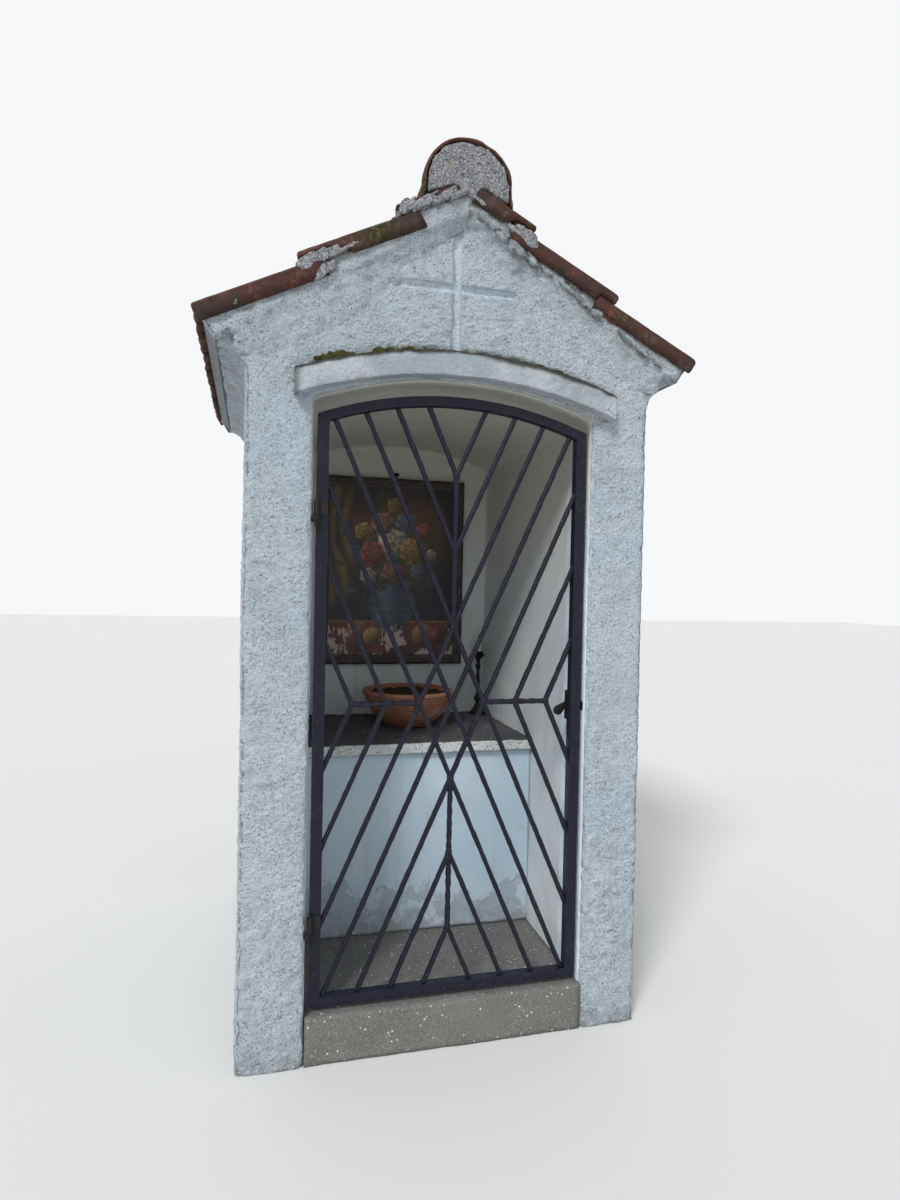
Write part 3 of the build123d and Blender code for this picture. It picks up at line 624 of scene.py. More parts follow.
def arris(x, y, z):
    # Nearness to the corners of the walls, which a hand-laid render leaves rounded, from 0 to 1.
    before, behind = y - FRONT_Y, y - BACK_Y
    outer = np.exp(-((np.abs(x) - OUTER_X) ** 2 + np.minimum(before**2, behind**2)) / 0.015**2)
    jamb = np.exp(-((np.abs(x) - NICHE_X) ** 2 + before**2) / 0.013**2)
    jamb *= step(SPRINGING_Z + 0.02 - z, 0, 0.02)
    soffit = np.exp(-((arch_height(x) - z) ** 2 + before**2) / 0.011**2) * (np.abs(x) < NICHE_X + 0.01)
    return np.maximum(outer, np.maximum(jamb, 0.7 * soffit))


# Places on the front where the wash has come off, as (x, z, half width, half height)
FLAKE_SPOTS = (
    (-0.040, 2.583, 0.022, 0.030), (0.029, 2.588, 0.010, 0.010), (0.150, 2.481, 0.016, 0.016),
    (0.207, 2.461, 0.010, 0.010), (-0.105, 2.545, 0.010, 0.010))


def blot(x, z, middle_x, middle_z, half_width, half_height):
    # Soft round spot on the front, 1 at its middle.
    return np.exp(-((x - middle_x) ** 2 / half_width**2 + (z - middle_z) ** 2 / half_height**2))


RELIEF_SPAN = 0.015


def cast_relief(points):
    # Height of the thrown render's lumps and crests at each point.
    lumps = layered(points * (1, 1, 1.3), 0.026, 11, 3, 0.72)
    crests = 0.45 - np.abs(layered(points * (1, 1, 1.5), 0.045, 31, 3, 0.65))
    patchy = 0.85 + 0.35 * field(points, 0.21, 41) + 0.35 * step(1.2 - points[:, 2], 0, 0.8)
    return (0.0034 * lumps + 0.0040 * crests - 0.0012) * patchy


def shown_relief(rough):
    # The render's height as its material reads it: from 0 in the hollows to 1 on the crests. The roughcast
    # paints shade into the hollows from it.
    return np.clip(0.5 + rough / RELIEF_SPAN, 0, 1)


def rendered(points, normals):
    # Displaced points of the masonry and the values that its materials read.
    x, y, z = points.T
    inside = step(NICHE_X + 0.012 - np.abs(x), 0, 0.010) * step(y, FRONT_Y + 0.006, FRONT_Y + 0.016)
    inside *= step(NICHE_BACK_Y + 0.03 - y, 0, 0.01) * step(arch_height(x) + 0.014 - z, 0, 0.010)
    front = step(-normals[:, 1], 0.5, 0.9) * step(-y, -FRONT_Y - 0.03, -FRONT_Y - 0.015)
    groove = cross_groove(points) * front
    rough = cast_relief(points) * (1 - 0.75 * groove)
    broad = 0.0035 * layered(points, 0.42, 51, 2, 0.5) - 0.0015
    gentle = 0.0016 * layered(points, 0.16, 61, 2, 0.5)
    moved = inside * gentle + (1 - inside) * (rough + broad)
    moved -= 0.008 * groove + 0.0085 * arris(x, y, z)
    out = points + normals * moved[:, None]
    out[:, 2] = np.maximum(out[:, 2], 0)
    under_roof = roof_underside(x) - z
    ragged = 0.6 + 0.8 * (layered(points, 0.09, 81, 3) * 0.5 + 0.5)
    # Dirt and painted shade under the verges, heavier on the right.
    grime_and_shade = np.exp(-np.maximum(under_roof, 0) / (0.030 * ragged)) * (0.20 + 0.7 * step(x, 0.0, 0.2))
    eave = step(z, SPRINGING_Z + 0.02, SPRINGING_Z + 0.12) * step(np.abs(x), OUTER_X - 0.02, OUTER_X + 0.03)
    grime_and_shade = np.maximum(grime_and_shade, 0.45 * eave * ragged)
    grime_and_shade = np.maximum(grime_and_shade, np.exp(-z / (0.05 * ragged)) * 0.75)
    grime_and_shade = np.maximum(grime_and_shade, blot(x, z, CROSS_X, CROSS_LOW_Z - 0.008, 0.010, 0.018) * front)
    # Dirt and painted shade on the wall along the hood's top.
    over_hood = z - hood_top(x)
    ledge = step(over_hood, -0.014, -0.004) * step(over_hood, 0.019 + 0.010 * ragged, 0.015)
    ledge *= step(0.515 - np.abs(x), 0, 0.01)
    spread = 0.55 + 0.45 * step(field(points, 0.11, 93) + 0.5 * (x > 0), -0.3, 0.3)
    grime_and_shade = np.maximum(grime_and_shade, ledge * front * spread)
    streaks = step(field(points * (1, 1, 0.08), 0.018, 91), 0.2, 0.9) * step(under_roof, 0.35, 0.02) * 0.35
    grime_and_shade = np.maximum(grime_and_shade, streaks)
    grime_and_shade *= 1 - inside * step(SPRINGING_Z - z, -0.02, 0.05)
    flaked = 1.2 * blot(x, z, -0.085, 2.585, 0.045, 0.022) + sum(blot(x, z, *spot) for spot in FLAKE_SPOTS)
    low = step(0.5 - z, 0, 0.45) * 0.35 * step(field(points, 0.18, 95), 0.1, 0.7)
    return out, {
        "relief": shown_relief(rough),
        "smooth": np.maximum(inside, 0.4 * groove),
        "grime_and_shade": np.clip(grime_and_shade, 0, 1),
        "worn": np.clip(flaked * front + low, 0, 1),
    }


def unit(vectors):
    return vectors / np.maximum(np.linalg.norm(vectors, axis=1, keepdims=True), 1e-12)


def facings(points, quads):
    # Square to each quad, as long as twice its area.
    corners = points[quads]
    return np.cross(corners[:, 2] - corners[:, 0], corners[:, 3] - corners[:, 1])


def centres(points, quads):
    # Middle of each quad and the way it faces.
    return points[quads].mean(axis=1), unit(facings(points, quads))


TILE_ROWS = ("eaves", "middle", "upper")
BED_THICKNESS = 0.031
EAVES_OVERHANG = 0.085
NOSE_OVERHANG = 0.017
ROOF_APEX_Z = GABLE_PEAK_Z + BED_THICKNESS / math.cos(ROOF_PITCH)
VERGE_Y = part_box("left_eaves_tiles")[1].y
TILE_COUNT = 7
TILE_WIDTH = 2 * VERGE_Y / TILE_COUNT
TILE_THICKNESS = 0.036
TILE_LAP = 0.060
TOP_COURSE = 0.227
BED_EDGE_X = OUTER_X + EAVES_OVERHANG + BED_THICKNESS * math.sin(ROOF_PITCH)
SLOPE_LENGTH = BED_EDGE_X / math.cos(ROOF_PITCH) + NOSE_OVERHANG
TILE_GAUGE = (SLOPE_LENGTH - TOP_COURSE) / (len(TILE_ROWS) - 1)
TILE_JOINT = 0.0022
TILE_SHELL = 0.023
TROUGH_MIDDLE = 0.047
TROUGH_HALF = 0.037
TROUGH_DEPTH = 0.011
NOSE_ROUND = 0.011
FLAP_THICKNESS = 0.020
FLAP_DROP = 0.019


def on_slope(along, above):
    # Point of the right slope from its distance down from the apex and its height square to the roof.
    x = along * math.cos(ROOF_PITCH) + above * math.sin(ROOF_PITCH)
    return x, ROOF_APEX_Z - along * math.sin(ROOF_PITCH) + above * math.cos(ROOF_PITCH)


def course_nose(course):
    return SLOPE_LENGTH - course * TILE_GAUGE


def tile_bottom(course, along):
    return TILE_THICKNESS * (1 - (course_nose(course) - along) / TILE_GAUGE)


def course_end(course):
    return max(course_nose(course) - TILE_GAUGE - TILE_LAP, 0.015)


def over_tiles(x):
    # Height of the upper course's top face at a distance from the middle.
    top = len(TILE_ROWS) - 1
    x1, z1 = on_slope(course_nose(top), 2 * TILE_THICKNESS)
    x2, z2 = on_slope(course_end(top), tile_bottom(top, course_end(top)) + TILE_THICKNESS)
    return z1 + (x - x1) * (z2 - z1) / (x2 - x1)


def swept(loops, wrap=True, caps=True):
    # Points and quads of rings placed one after another, closed at both ends.
    stations, count = loops.shape[:2]
    index = np.arange(stations * count).reshape(stations, count)
    along = np.concatenate([index, index[:, :1]], axis=1) if wrap else index
    quads = np.stack([along[:-1, :-1], along[:-1, 1:], along[1:, 1:], along[1:, :-1]], axis=-1)
    quads = quads.reshape(-1, 4)
    if caps and wrap:
        rung = np.arange(count // 2 - 1)
        ladder = np.stack([rung, count - 1 - rung, count - 2 - rung, rung + 1], axis=-1)
        quads = np.concatenate([quads, index[0][ladder], index[-1][ladder[:, ::-1]]])
    points = loops.reshape(-1, 3)
    return points, outward(points, quads) if wrap else quads


def outward(points, quads):
    # Quads turned so that their fronts face out of the closed shape.
    corners = points[quads] - points.mean(axis=0)
    volume = np.einsum("ij,ij->i", corners[:, 0], np.cross(corners[:, 1], corners[:, 2])).sum()
    volume += np.einsum("ij,ij->i", corners[:, 0], np.cross(corners[:, 2], corners[:, 3])).sum()
    return quads[:, ::-1] if volume < 0 else quads


def merged(parts):
    # One set of points, quads and values from several.
    points, quads, values, start = [], [], {}, 0
    for part_points, part_quads, part_values in parts:
        points.append(part_points)
        quads.append(part_quads + start)
        start += len(part_points)
        for key, amounts in part_values.items():
            values.setdefault(key, []).append(amounts)
    values = {key: np.concatenate(amounts) for key, amounts in values.items()}
    return np.concatenate(points), np.concatenate(quads), values


def grid_box(low, high, counts):
    # Closed box whose six faces are divided into a grid.
    low, high = np.array(low, float), np.array(high, float)
    points, quads, start = [], [], 0
    for axis in range(3):
        others = [a for a in range(3) if a != axis]
        for end in (0, 1):
            first = np.linspace(0, 1, counts[others[0]] + 1)
            second = np.linspace(0, 1, counts[others[1]] + 1)
            share = np.zeros((len(first), len(second), 3))
            share[..., axis] = end
            share[..., others[0]] = first[:, None]
            share[..., others[1]] = second[None, :]
            face, face_quads = swept(low + share * (high - low), wrap=False)
            quads.append((face_quads if (end == 1) == (axis != 1) else face_quads[:, ::-1]) + start)
            points.append(face)
            start += len(face)
    points, quads = np.concatenate(points), np.concatenate(quads)
    merged_points, renumbered = np.unique(np.round(points, 6), axis=0, return_inverse=True)
    return merged_points, outward(merged_points, renumbered.reshape(-1)[quads])


def vertex_normals(points, quads):
    facing = facings(points, quads)
    total = np.zeros_like(points)
    for corner in range(4):
        np.add.at(total, quads[:, corner], facing)
    return unit(total)


def raised(points, quads, skin):
    # Points moved out of their surface by a skin's height.
    return points + vertex_normals(points, quads) * skin[:, None]


def lump(centre, radii, seed, rough, divisions, block=0.0):
    # Rounded clod: a grid sphere, or part way to a block, with an uneven skin.
    points, quads = grid_box((-1, -1, -1), (1, 1, 1), (divisions,) * 3)
    points = points * (block + (1 - block) / np.linalg.norm(points, axis=1, keepdims=True))
    points = points * np.array(radii)
    size = min(radii)
    placed = points + np.array(centre)
    swell = rough * size * layered(placed, size * 0.9, seed, 3, 0.6)
    return placed + vertex_normals(points, quads) * swell[:, None], quads, {}


def at_verge(points):
    # Points held behind the plane of the verges.
    points[:, 1] = np.clip(points[:, 1], -VERGE_Y, VERGE_Y)
    return points


# How far back from the nose mortar fills the turned-down edge, by (side, course, number of the tile)
FILLED_FLAPS = {(-1, 1, 0): 0.14, (-1, 2, 0): 0.30, (1, 2, 0): 0.09}


def tile(side, course, number, rng):
    # One interlocking clay tile with two troughs, a rounded nose and, at the verge, a turned-down edge.
    width = TILE_WIDTH - TILE_JOINT
    edge = np.array([0, 0.0012, 0.004, 0.009])
    across = np.concatenate([edge, np.linspace(0.016, width - 0.016, 19), width - edge[::-1]])
    top = np.full_like(across, TILE_THICKNESS)
    for middle in (-TROUGH_MIDDLE, TROUGH_MIDDLE):
        t = np.clip(np.abs(across - TILE_WIDTH / 2 - middle) / TROUGH_HALF, 0, 1)
        top -= TROUGH_DEPTH * (1 - t * t) ** 1.5
    rim = np.minimum(across, width - across)
    top -= 0.003 * step(rim, 0.004, 0) + 0.004 * step(across, 0.012, 0.002)
    under = np.maximum(top - TILE_SHELL, 0) + 0.003 * step(rim, 0.004, 0)
    nose = course_nose(course) - rng.uniform(0, 0.004)
    distance = np.array([0, 0.0012, 0.004, 0.009, 0.016, 0.030, 0.050, 0.058, 0.066, 0.080])
    end = course_end(course)
    along = np.concatenate([np.linspace(end, nose - 0.1, 11), nose - distance[::-1]])
    from_nose = nose - along
    verge = number == 0 or number == TILE_COUNT - 1
    outer = across if number == 0 else width - across
    sag = rng.uniform(-0.0015, 0.0015)
    skew = rng.uniform(-0.004, 0.004)
    flap = step(outer, FLAP_THICKNESS + 0.004, FLAP_THICKNESS - 0.002) if verge else np.zeros_like(across)
    filled = FILLED_FLAPS.get((side, course, number), 0)
    loops = []
    for v, d in zip(along, from_nose):
        droop = NOSE_ROUND - math.sqrt(NOSE_ROUND**2 - max(NOSE_ROUND - d, 0) ** 2)
        crown = top - droop + sag * (across / width - 0.5) * 2
        base = under + 0.35 * droop
        if verge:
            hang = step(d, TILE_LAP - 0.004, TILE_LAP + 0.006) if course else 1.0
            cover = step(d, filled, filled - 0.02) if filled else 0.0
            rolled = 0.008 * step(outer, 0.010, 0)
            crown = crown + flap * (TILE_THICKNESS - top) * 0.9 - rolled
            foot = -FLAP_DROP * hang * (1 - cover) + 0.015 * cover
            foot = foot + 0.006 * step(np.abs(outer - FLAP_THICKNESS / 2), 0.004, FLAP_THICKNESS / 2)
            base = base * (1 - flap) + foot * flap
        base = np.minimum(base, crown - 0.004)
        height = tile_bottom(course, v + course_nose(course) - nose)
        ring = []
        for w, u in ((crown, across), (base[::-1], across[::-1])):
            x, z = on_slope(v, height + w)
            slide = skew * (from_nose.max() - d) / from_nose.max() * 0.3
            y = -VERGE_Y + number * TILE_WIDTH + TILE_JOINT / 2 + u + (0 if verge else slide)
            ring.append(np.stack([side * x, y, z], axis=-1))
        loops.append(np.concatenate(ring))
    points, quads = swept(np.array(loops))
    skin = 0.0006 * layered(points, 0.02, 5, 3, 0.6) - 0.0006
    chips = step(layered(points, 0.03, 23, 2), 0.75, 1.25)
    near_edge = np.tile(np.concatenate([step(rim, 0.012, 0), step(rim[::-1], 0.012, 0)]), len(along))
    near_edge = np.maximum(near_edge, np.repeat(step(from_nose, 0.02, 0.002), 2 * len(across)))
    points = raised(points, quads, skin - 0.006 * chips * near_edge)
    tone = np.full(len(points), rng.uniform(0, 1))
    if verge:
        face = step(np.minimum(points[:, 1] + VERGE_Y, VERGE_Y - points[:, 1]), 0.006, 0.002)
        near_edge = near_edge * (1 - 0.75 * face)
        tone = tone * (1 - face)
    shade = step(np.repeat(from_nose, 2 * len(across)), 0.10, 0.3)
    moss = step(layered(points, 0.10, 77, 3), 0.35, 0.9) * (0.35 + 0.65 * shade)
    return points, quads, {"tone": tone, "edge": near_edge, "moss": moss}


def build_tiles():
    rng = random.Random(4)
    for side_name, side in (("left", -1), ("right", 1)):
        for course, row in enumerate(TILE_ROWS):
            parts = [tile(side, course, number, rng) for number in range(TILE_COUNT)]
            node = f"{side_name}_{row}_tiles"
            add_piece(f"{node}_clay", merged(parts), CLAY, (node,))


RIDGE_Z = ROOF_APEX_Z + 0.036
RIDGE_RADIUS = 0.131
RIDGE_WALL = 0.014
RIDGE_COLLAR = 0.012
RIDGE_COUNT = 4
RIDGE_SOCKET = 0.045
RIDGE_TONES = (0.75, 0.3, 0.6, 0.45)
MORTAR_VOXEL = 0.007


def ridge_section(radius):
    # Half-round path with straight legs down to the tiles, from the right foot to the left one.
    angles = np.linspace(0, math.pi, 30)
    legs = np.linspace(over_tiles(radius), RIDGE_Z, 5)[:-1]
    x = np.concatenate([np.full(4, radius), radius * np.cos(angles), np.full(4, -radius)])
    z = np.concatenate([legs, RIDGE_Z + radius * np.sin(angles), legs[::-1]])
    return x, z


def ridge_ring(number, d, y):
    # Section of a ridge tile at a distance behind its front, whose collar has a ragged edge.
    collar = RIDGE_COLLAR * step(d, 0.064, 0.048)
    lip = 0.004 * step(d, 0.006, 0)
    x, z = ridge_section(RIDGE_RADIUS + collar - lip)
    inner = RIDGE_RADIUS + 0.0004 if d < RIDGE_SOCKET else RIDGE_RADIUS - RIDGE_WALL
    inner_x, inner_z = ridge_section(inner + lip * 0.4)
    angle = np.arctan2(z - RIDGE_Z + 0.05, x)
    tile_apart = np.full_like(angle, number * 3.0)
    bite = np.stack([np.cos(angle) * 0.11, tile_apart, np.sin(angle) * 0.11], axis=-1)
    ragged = 0.012 * step(field(bite, 0.045, 7), 0.15, 0.8) + 0.004 * (field(bite, 0.014, 9) + 1)
    shift = ragged * step(d, 0.05, 0)
    outer_ring = np.stack([x, y + shift, z], axis=-1)
    inner_ring = np.stack([inner_x, y + shift, inner_z], axis=-1)[::-1]
    return np.concatenate([outer_ring, inner_ring])


def build_ridge_tile(number):
    cover = 2 * VERGE_Y / RIDGE_COUNT
    front = -VERGE_Y + number * cover
    tail = front + cover + (RIDGE_SOCKET - 0.001 if number + 1 < RIDGE_COUNT else 0)
    near = np.array([0, 0.0015, 0.005, 0.012, 0.025, 0.040, 0.050, 0.056, 0.062, 0.072])
    stations = np.concatenate([front + near, np.linspace(front + 0.09, tail, 14)])
    points, quads = swept(np.array([ridge_ring(number, y - front, y) for y in stations]))
    points = at_verge(raised(points, quads, 0.0009 * layered(points, 0.03, 15, 3, 0.6) - 0.0009))
    x, y, z = points.T
    from_front = y - front
    low = step(over_tiles(np.abs(x)) + 0.07 - z, -0.02, 0.06)
    values = {
        "tone": np.full(len(points), RIDGE_TONES[number]),
        "edge": np.maximum(step(from_front, 0.02, 0.003), step(np.abs(from_front - 0.058), 0.01, 0)),
        "moss": low * step(layered(points, 0.08, 55, 2), -0.2, 0.5),
    }
    name = f"ridge_tile_{number + 1}"
    add_piece(f"{name}_clay", (points, quads, values), CLAY, (name,))


def build_ridge_mortar():
    # Pebbly mortar that shows in the open ends of the ridge.
    points, normals, quads = remesh(solids(("ridge_mortar",), grow=0), MORTAR_VOXEL)
    pebbly = 0.003 * layered(points, 0.02, 33, 3, 0.65) - 0.0015
    points = points + normals * pebbly[:, None]
    in_socket = step(-points[:, 1], VERGE_Y - RIDGE_SOCKET, VERGE_Y - RIDGE_SOCKET + 0.006)
    widen = 1 + in_socket * (RIDGE_WALL - 0.001) / (RIDGE_RADIUS - RIDGE_WALL)
    points[:, 0] *= widen
    points[:, 2] = RIDGE_Z + (points[:, 2] - RIDGE_Z) * np.where(points[:, 2] > RIDGE_Z, widen, 1)
    middle, _ = centres(at_verge(points), quads)
    ends = np.abs(middle[:, 1]) > VERGE_Y - 0.08
    add_object("ridge_mortar_fill", cut_piece(points, quads, ends, {}), MORTAR, ("ridge_mortar",))


def build_ridge():
    for number in range(RIDGE_COUNT):
        build_ridge_tile(number)
    build_ridge_mortar()


HOOD_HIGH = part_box("hood_mould")[1]
HOOD_RISE = 0.094
HOOD_VOXEL = 0.0052
HOOD_RADIUS = (HOOD_HIGH.x**2 + HOOD_RISE**2) / (2 * HOOD_RISE)


def hood_top(x):
    return arc(x, HOOD_HIGH.z - HOOD_RADIUS, HOOD_RADIUS, HOOD_HIGH.x)


def build_hood():
    points, normals, quads = remesh(solids(("hood_mould",), back=FRONT_Y + 0.02), HOOD_VOXEL)
    x, _, z = points.T
    skin = 0.0016 * layered(points, 0.09, 13, 2, 0.5) + 0.0012 * layered(points, 0.016, 17, 3, 0.6) - 0.001
    chips = step(layered(points, 0.04, 19, 2), 0.8, 1.3) * step(hood_top(x) - z, 0.02, 0)
    points = at_verge(points + normals * (skin - 0.005 * chips)[:, None])
    under_top = hood_top(x) - z
    ragged = 0.6 + 0.8 * (layered(points, 0.05, 83, 3) * 0.5 + 0.5)
    # Dirt and painted shade along the hood's top, wider where it cracks open.
    open_crack = 1 + 0.3 * step(x, 0.04, 0.12) * step(0.42 - x, 0, 0.10)
    grime_and_shade = step(under_top, 0.018 * ragged * open_crack, 0.008 * ragged * open_crack)
    end_stain = step(-x, 0.485, 0.51) * 0.7
    values = {
        "grime_and_shade": np.clip(np.maximum(grime_and_shade, end_stain), 0, 1),
        "worn": step(layered(points, 0.14, 85, 3), 0.1, 0.7) * 0.6,
    }
    add_piece("hood_render", (points, quads, values), HOOD_WASH, ("hood_mould",))


# Clumps of moss on the hood, as (x, half length, half height)
MOSS_ON_HOOD = (
    (-0.415, 0.045, 0.010), (-0.37, 0.05, 0.013), (-0.262, 0.022, 0.011), (-0.235, 0.018, 0.008),
    (-0.178, 0.022, 0.009), (0.235, 0.03, 0.004), (0.30, 0.026, 0.005))


def build_moss():
    parts = []
    for number, (x, length, height) in enumerate(MOSS_ON_HOOD):
        place = x, FRONT_Y - 0.024, hood_top(x)
        parts.append(lump(place, (length, 0.019, height), 100 + number, 0.5, 12))
    for number, x in enumerate((-0.185, -0.17, -0.155)):
        place = x, -VERGE_Y + 0.03 + 0.02 * number, over_tiles(abs(x))
        parts.append(lump(place, (0.020, 0.022, 0.010), 120 + number, 0.5, 10))
    points, quads, _ = merged(parts)
    add_piece("moss_clumps", (at_verge(points), quads), MOSS)


# Lumps of mortar on the front verge, as (x, z, half length, half height)
VERGE_LUMPS = (
    (-0.468, 2.394, 0.046, 0.026), (-0.418, 2.420, 0.038, 0.018), (-0.360, 2.448, 0.036, 0.008),
    (-0.432, 2.370, 0.034, 0.021), (-0.190, 2.592, 0.030, 0.021), (-0.135, 2.613, 0.045, 0.018),
    (-0.075, 2.640, 0.042, 0.016), (-0.030, 2.652, 0.034, 0.014), (0.190, 2.552, 0.040, 0.027),
    (0.150, 2.566, 0.024, 0.012), (0.03, 2.640, 0.035, 0.010))

# Broken edge of the render under the right verge, as (distance from the middle, half length, half height)
FRINGE = (
    (0.060, 0.030, 0.010), (0.110, 0.024, 0.013), (0.158, 0.030, 0.018), (0.208, 0.026, 0.015),
    (0.262, 0.022, 0.010), (0.330, 0.030, 0.008), (0.388, 0.026, 0.012), (0.436, 0.022, 0.014),
    (0.530, 0.020, 0.010), (0.560, 0.030, 0.009), (0.602, 0.026, 0.012), (0.652, 0.020, 0.010))


def prism(corners, ends):
    # Closed triangular prism: its (y, z offset) corners drawn between two ends of (x, z, scale).
    shape = bmesh.new()
    rows = [[shape.verts.new((x, y, z + dz * scale)) for y, dz in corners] for x, z, scale in ends]
    shape.faces.new(rows[0])
    shape.faces.new(rows[1][::-1])
    for first in range(3):
        second = (first + 1) % 3
        shape.faces.new((rows[0][first], rows[1][first], rows[1][second], rows[0][second]))
    bmesh.ops.recalc_face_normals(shape, faces=shape.faces)
    return shape


# Distances from the middle and how far down, in steps of 85 mm, the render swells out to the verge there
SWELLING = ((-0.004, 0.45), (0.14, 0.9), (0.34, 2.2), (0.56, 1.9), (OUTER_X + 0.035, 0.75))


LUMP_INSET = 0.0005


def leaning_lump(place, radii, *skin):
    # Lump that leans with the roof; its place is x, how far behind the front verge, and z.
    points, quads, values = lump((0, 0, 0), radii, *skin)
    points[:, 2] -= points[:, 0] * math.copysign(math.tan(ROOF_PITCH), place[0])
    points += (place[0], place[1] - VERGE_Y, place[2])
    points[:, 1] = np.maximum(points[:, 1], LUMP_INSET - VERGE_Y)
    return points, quads, values


def build_verge(name, facing, wall, cut):
    # Mortar under the verge tiles, smeared down onto the gable and limewashed with it.
    shape = solids(("left_roof_bed", "right_roof_bed"), **cut)
    inner, outer = wall - facing * 0.010, wall + facing * 0.025
    corners = ((inner, -0.085), (outer, 0.004), (inner, 0.004))
    for side, (near, far) in itertools.product((-1, 1), zip(SWELLING, SWELLING[1:])):
        ends = [(side * x, roof_underside(x), scale) for x, scale in (near, far)]
        pour(prism(corners, ends), shape)
    points, normals, quads = remesh(shape, MORTAR_VOXEL)
    x, _, z = points.T
    under = roof_underside(x) - z
    rough = cast_relief(points)
    points = points + normals * np.maximum(0.0036 + rough, 0.0004)[:, None]
    middle, _ = centres(points, quads)
    keep = (middle[:, 1] - wall) * facing > -0.008
    # Dirt and painted shade under the verge, heavier on the right and fading down the wall.
    values = {
        "relief": shown_relief(rough),
        "smooth": np.zeros(len(points)),
        "grime_and_shade": np.clip(-0.15 + 0.7 * (x > 0) + 0.5 * layered(points, 0.07, 49, 3) - under * 7, 0, 1),
        "worn": 0.3 * step(layered(points, 0.09, 53, 3), 0.6, 1.1),
    }
    add_object(f"verge_{name}_render", cut_piece(points, quads, keep, values), ROUGHCAST)


def build_verge_lumps():
    parts = []
    for number, (x, z, length, height) in enumerate(VERGE_LUMPS):
        parts.append(leaning_lump((x, 0.026, z), (length, 0.028, height), 140 + number, 0.20, 14, 0.45))
    add_piece("verge_mortar_lumps", merged(parts), VERGE_MORTAR)


def build_fringe():
    parts = []
    for number, (x, length, height) in enumerate(FRINGE):
        place = x, 0.0165, roof_underside(x) + 0.012 - 0.5 * height
        parts.append(leaning_lump(place, (length, 0.014, height), 170 + number, 0.38, 10, 0.25))
    points, quads, _ = merged(parts)
    # Dirt and painted shade on the broken edge under the right verge.
    values = {
        "relief": np.full(len(points), 0.5),
        "smooth": np.zeros(len(points)),
        "grime_and_shade": np.clip(0.45 + 0.6 * layered(points, 0.03, 57, 3), 0, 1),
        "worn": np.clip(0.3 + layered(points, 0.05, 59, 2), 0, 1),
    }
    add_piece("verge_fringe_render", (points, quads, values), ROUGHCAST)


def build_broken_tile():
    # Chip of clay that sticks out of the mortar of the right verge.
    points, quads, _ = lump((0.482, -0.715, 2.350), (0.017, 0.009, 0.024), 190, 0.45, 10)
    values = {"tone": np.ones(len(points)), "edge": np.ones(len(points)), "moss": np.zeros(len(points))}
    add_piece("broken_tile_piece", (points, quads, values), CLAY)


def build_verges():
    build_verge("front", -1, FRONT_Y, {"back": FRONT_Y + 0.03})
    build_verge("back", 1, BACK_Y, {"front": BACK_Y - 0.03})
    build_verge_lumps()
    build_fringe()
    build_broken_tile()


def displaced_box(name, node, step_sizes, material, broad, fine, seed):
    # CAD block as a gridded box with an uneven skin.
    low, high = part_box(node)
    counts = [max(2, round((high[a] - low[a]) / step_sizes[a])) for a in range(3)]
    points, quads = grid_box(low, high, counts)
    skin = broad * layered(points, 0.16, seed, 2, 0.5) + fine * layered(points, 0.022, seed + 5, 3, 0.6)
    points = raised(points, quads, skin - 0.5 * (broad + fine))
    points[:, 2] = np.maximum(points[:, 2], low.z)
    add_piece(name, (points, quads), material, (node,))


def build_altar():
    displaced_box("floor_concrete", "floor_slab", (0.020, 0.020, 0.015), CONCRETE, 0.002, 0.0012, 201)
    displaced_box("altar_render", "altar_block", (0.012, 0.05, 0.012), ALTAR_WASH, 0.003, 0.0006, 211)
    displaced_box("altar_slab_cast", "altar_slab", (0.010, 0.012, 0.008), SLAB, 0.0012, 0.0030, 221)


GATE_LOW, GATE_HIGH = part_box("lattice")
GATE_MIDDLE_Y = (GATE_LOW.y + GATE_HIGH.y) / 2
BAR = 0.0142
LATTICE_Z = FLOOR_Z + 0.938
LATTICE_PITCH = 0.106
LATTICE_RISE = 0.240
CORNER_WEAR = 0.72
FRAME_MARGIN = 0.006
HEAD_GAP = 0.044
HEAD_WIDTH = 0.030
HEAD_INNER_RADIUS = ARCH_RADIUS - HEAD_GAP - HEAD_WIDTH


def inside_frame(x, z):
    # Whether a point of the gate lies within the frame's inner outline, grown a little into the frame.
    head = arc(x, CROWN_Z - ARCH_RADIUS, HEAD_INNER_RADIUS, NICHE_X)
    within = (np.abs(x) < GATE_HIGH.x + FRAME_MARGIN) & (z > GATE_LOW.z - FRAME_MARGIN)
    return within & (z < head + FRAME_MARGIN)


def forged_bar(start, end, size, seed, twist=0.0, spacing=0.010):
    # Square bar with worn corners, a hammered skin and, if asked, a twist in turns per metre.
    start, end = np.array(start, float), np.array(end, float)
    length = np.linalg.norm(end - start)
    ahead = (end - start) / length
    across = np.cross(ahead, (0, 1, 0))
    count = max(2, int(length / spacing))
    half = size / 2
    corner = half * CORNER_WEAR
    quarter = ((half, -corner), (half, 0), (half, corner))
    ring = np.array([*quarter, *((b, a) for a, b in quarter[::-1]), *((-a, -b) for a, b in quarter),
                     *((-b, -a) for a, b in quarter[::-1])])
    loops = []
    for t in np.linspace(0, length, count + 1):
        turn = twist * t * 2 * math.pi
        u = ring[:, 0] * math.cos(turn) - ring[:, 1] * math.sin(turn)
        v = ring[:, 0] * math.sin(turn) + ring[:, 1] * math.cos(turn)
        loops.append(start + ahead * t + across * u[:, None] + np.array((0, 1, 0)) * v[:, None])
    points, quads = swept(np.array(loops))
    skin = 0.0008 * layered(points, 0.016, seed, 2, 0.6) + 0.0005 * field(points, 0.05, seed + 3)
    return raised(points, quads, skin), quads, {}


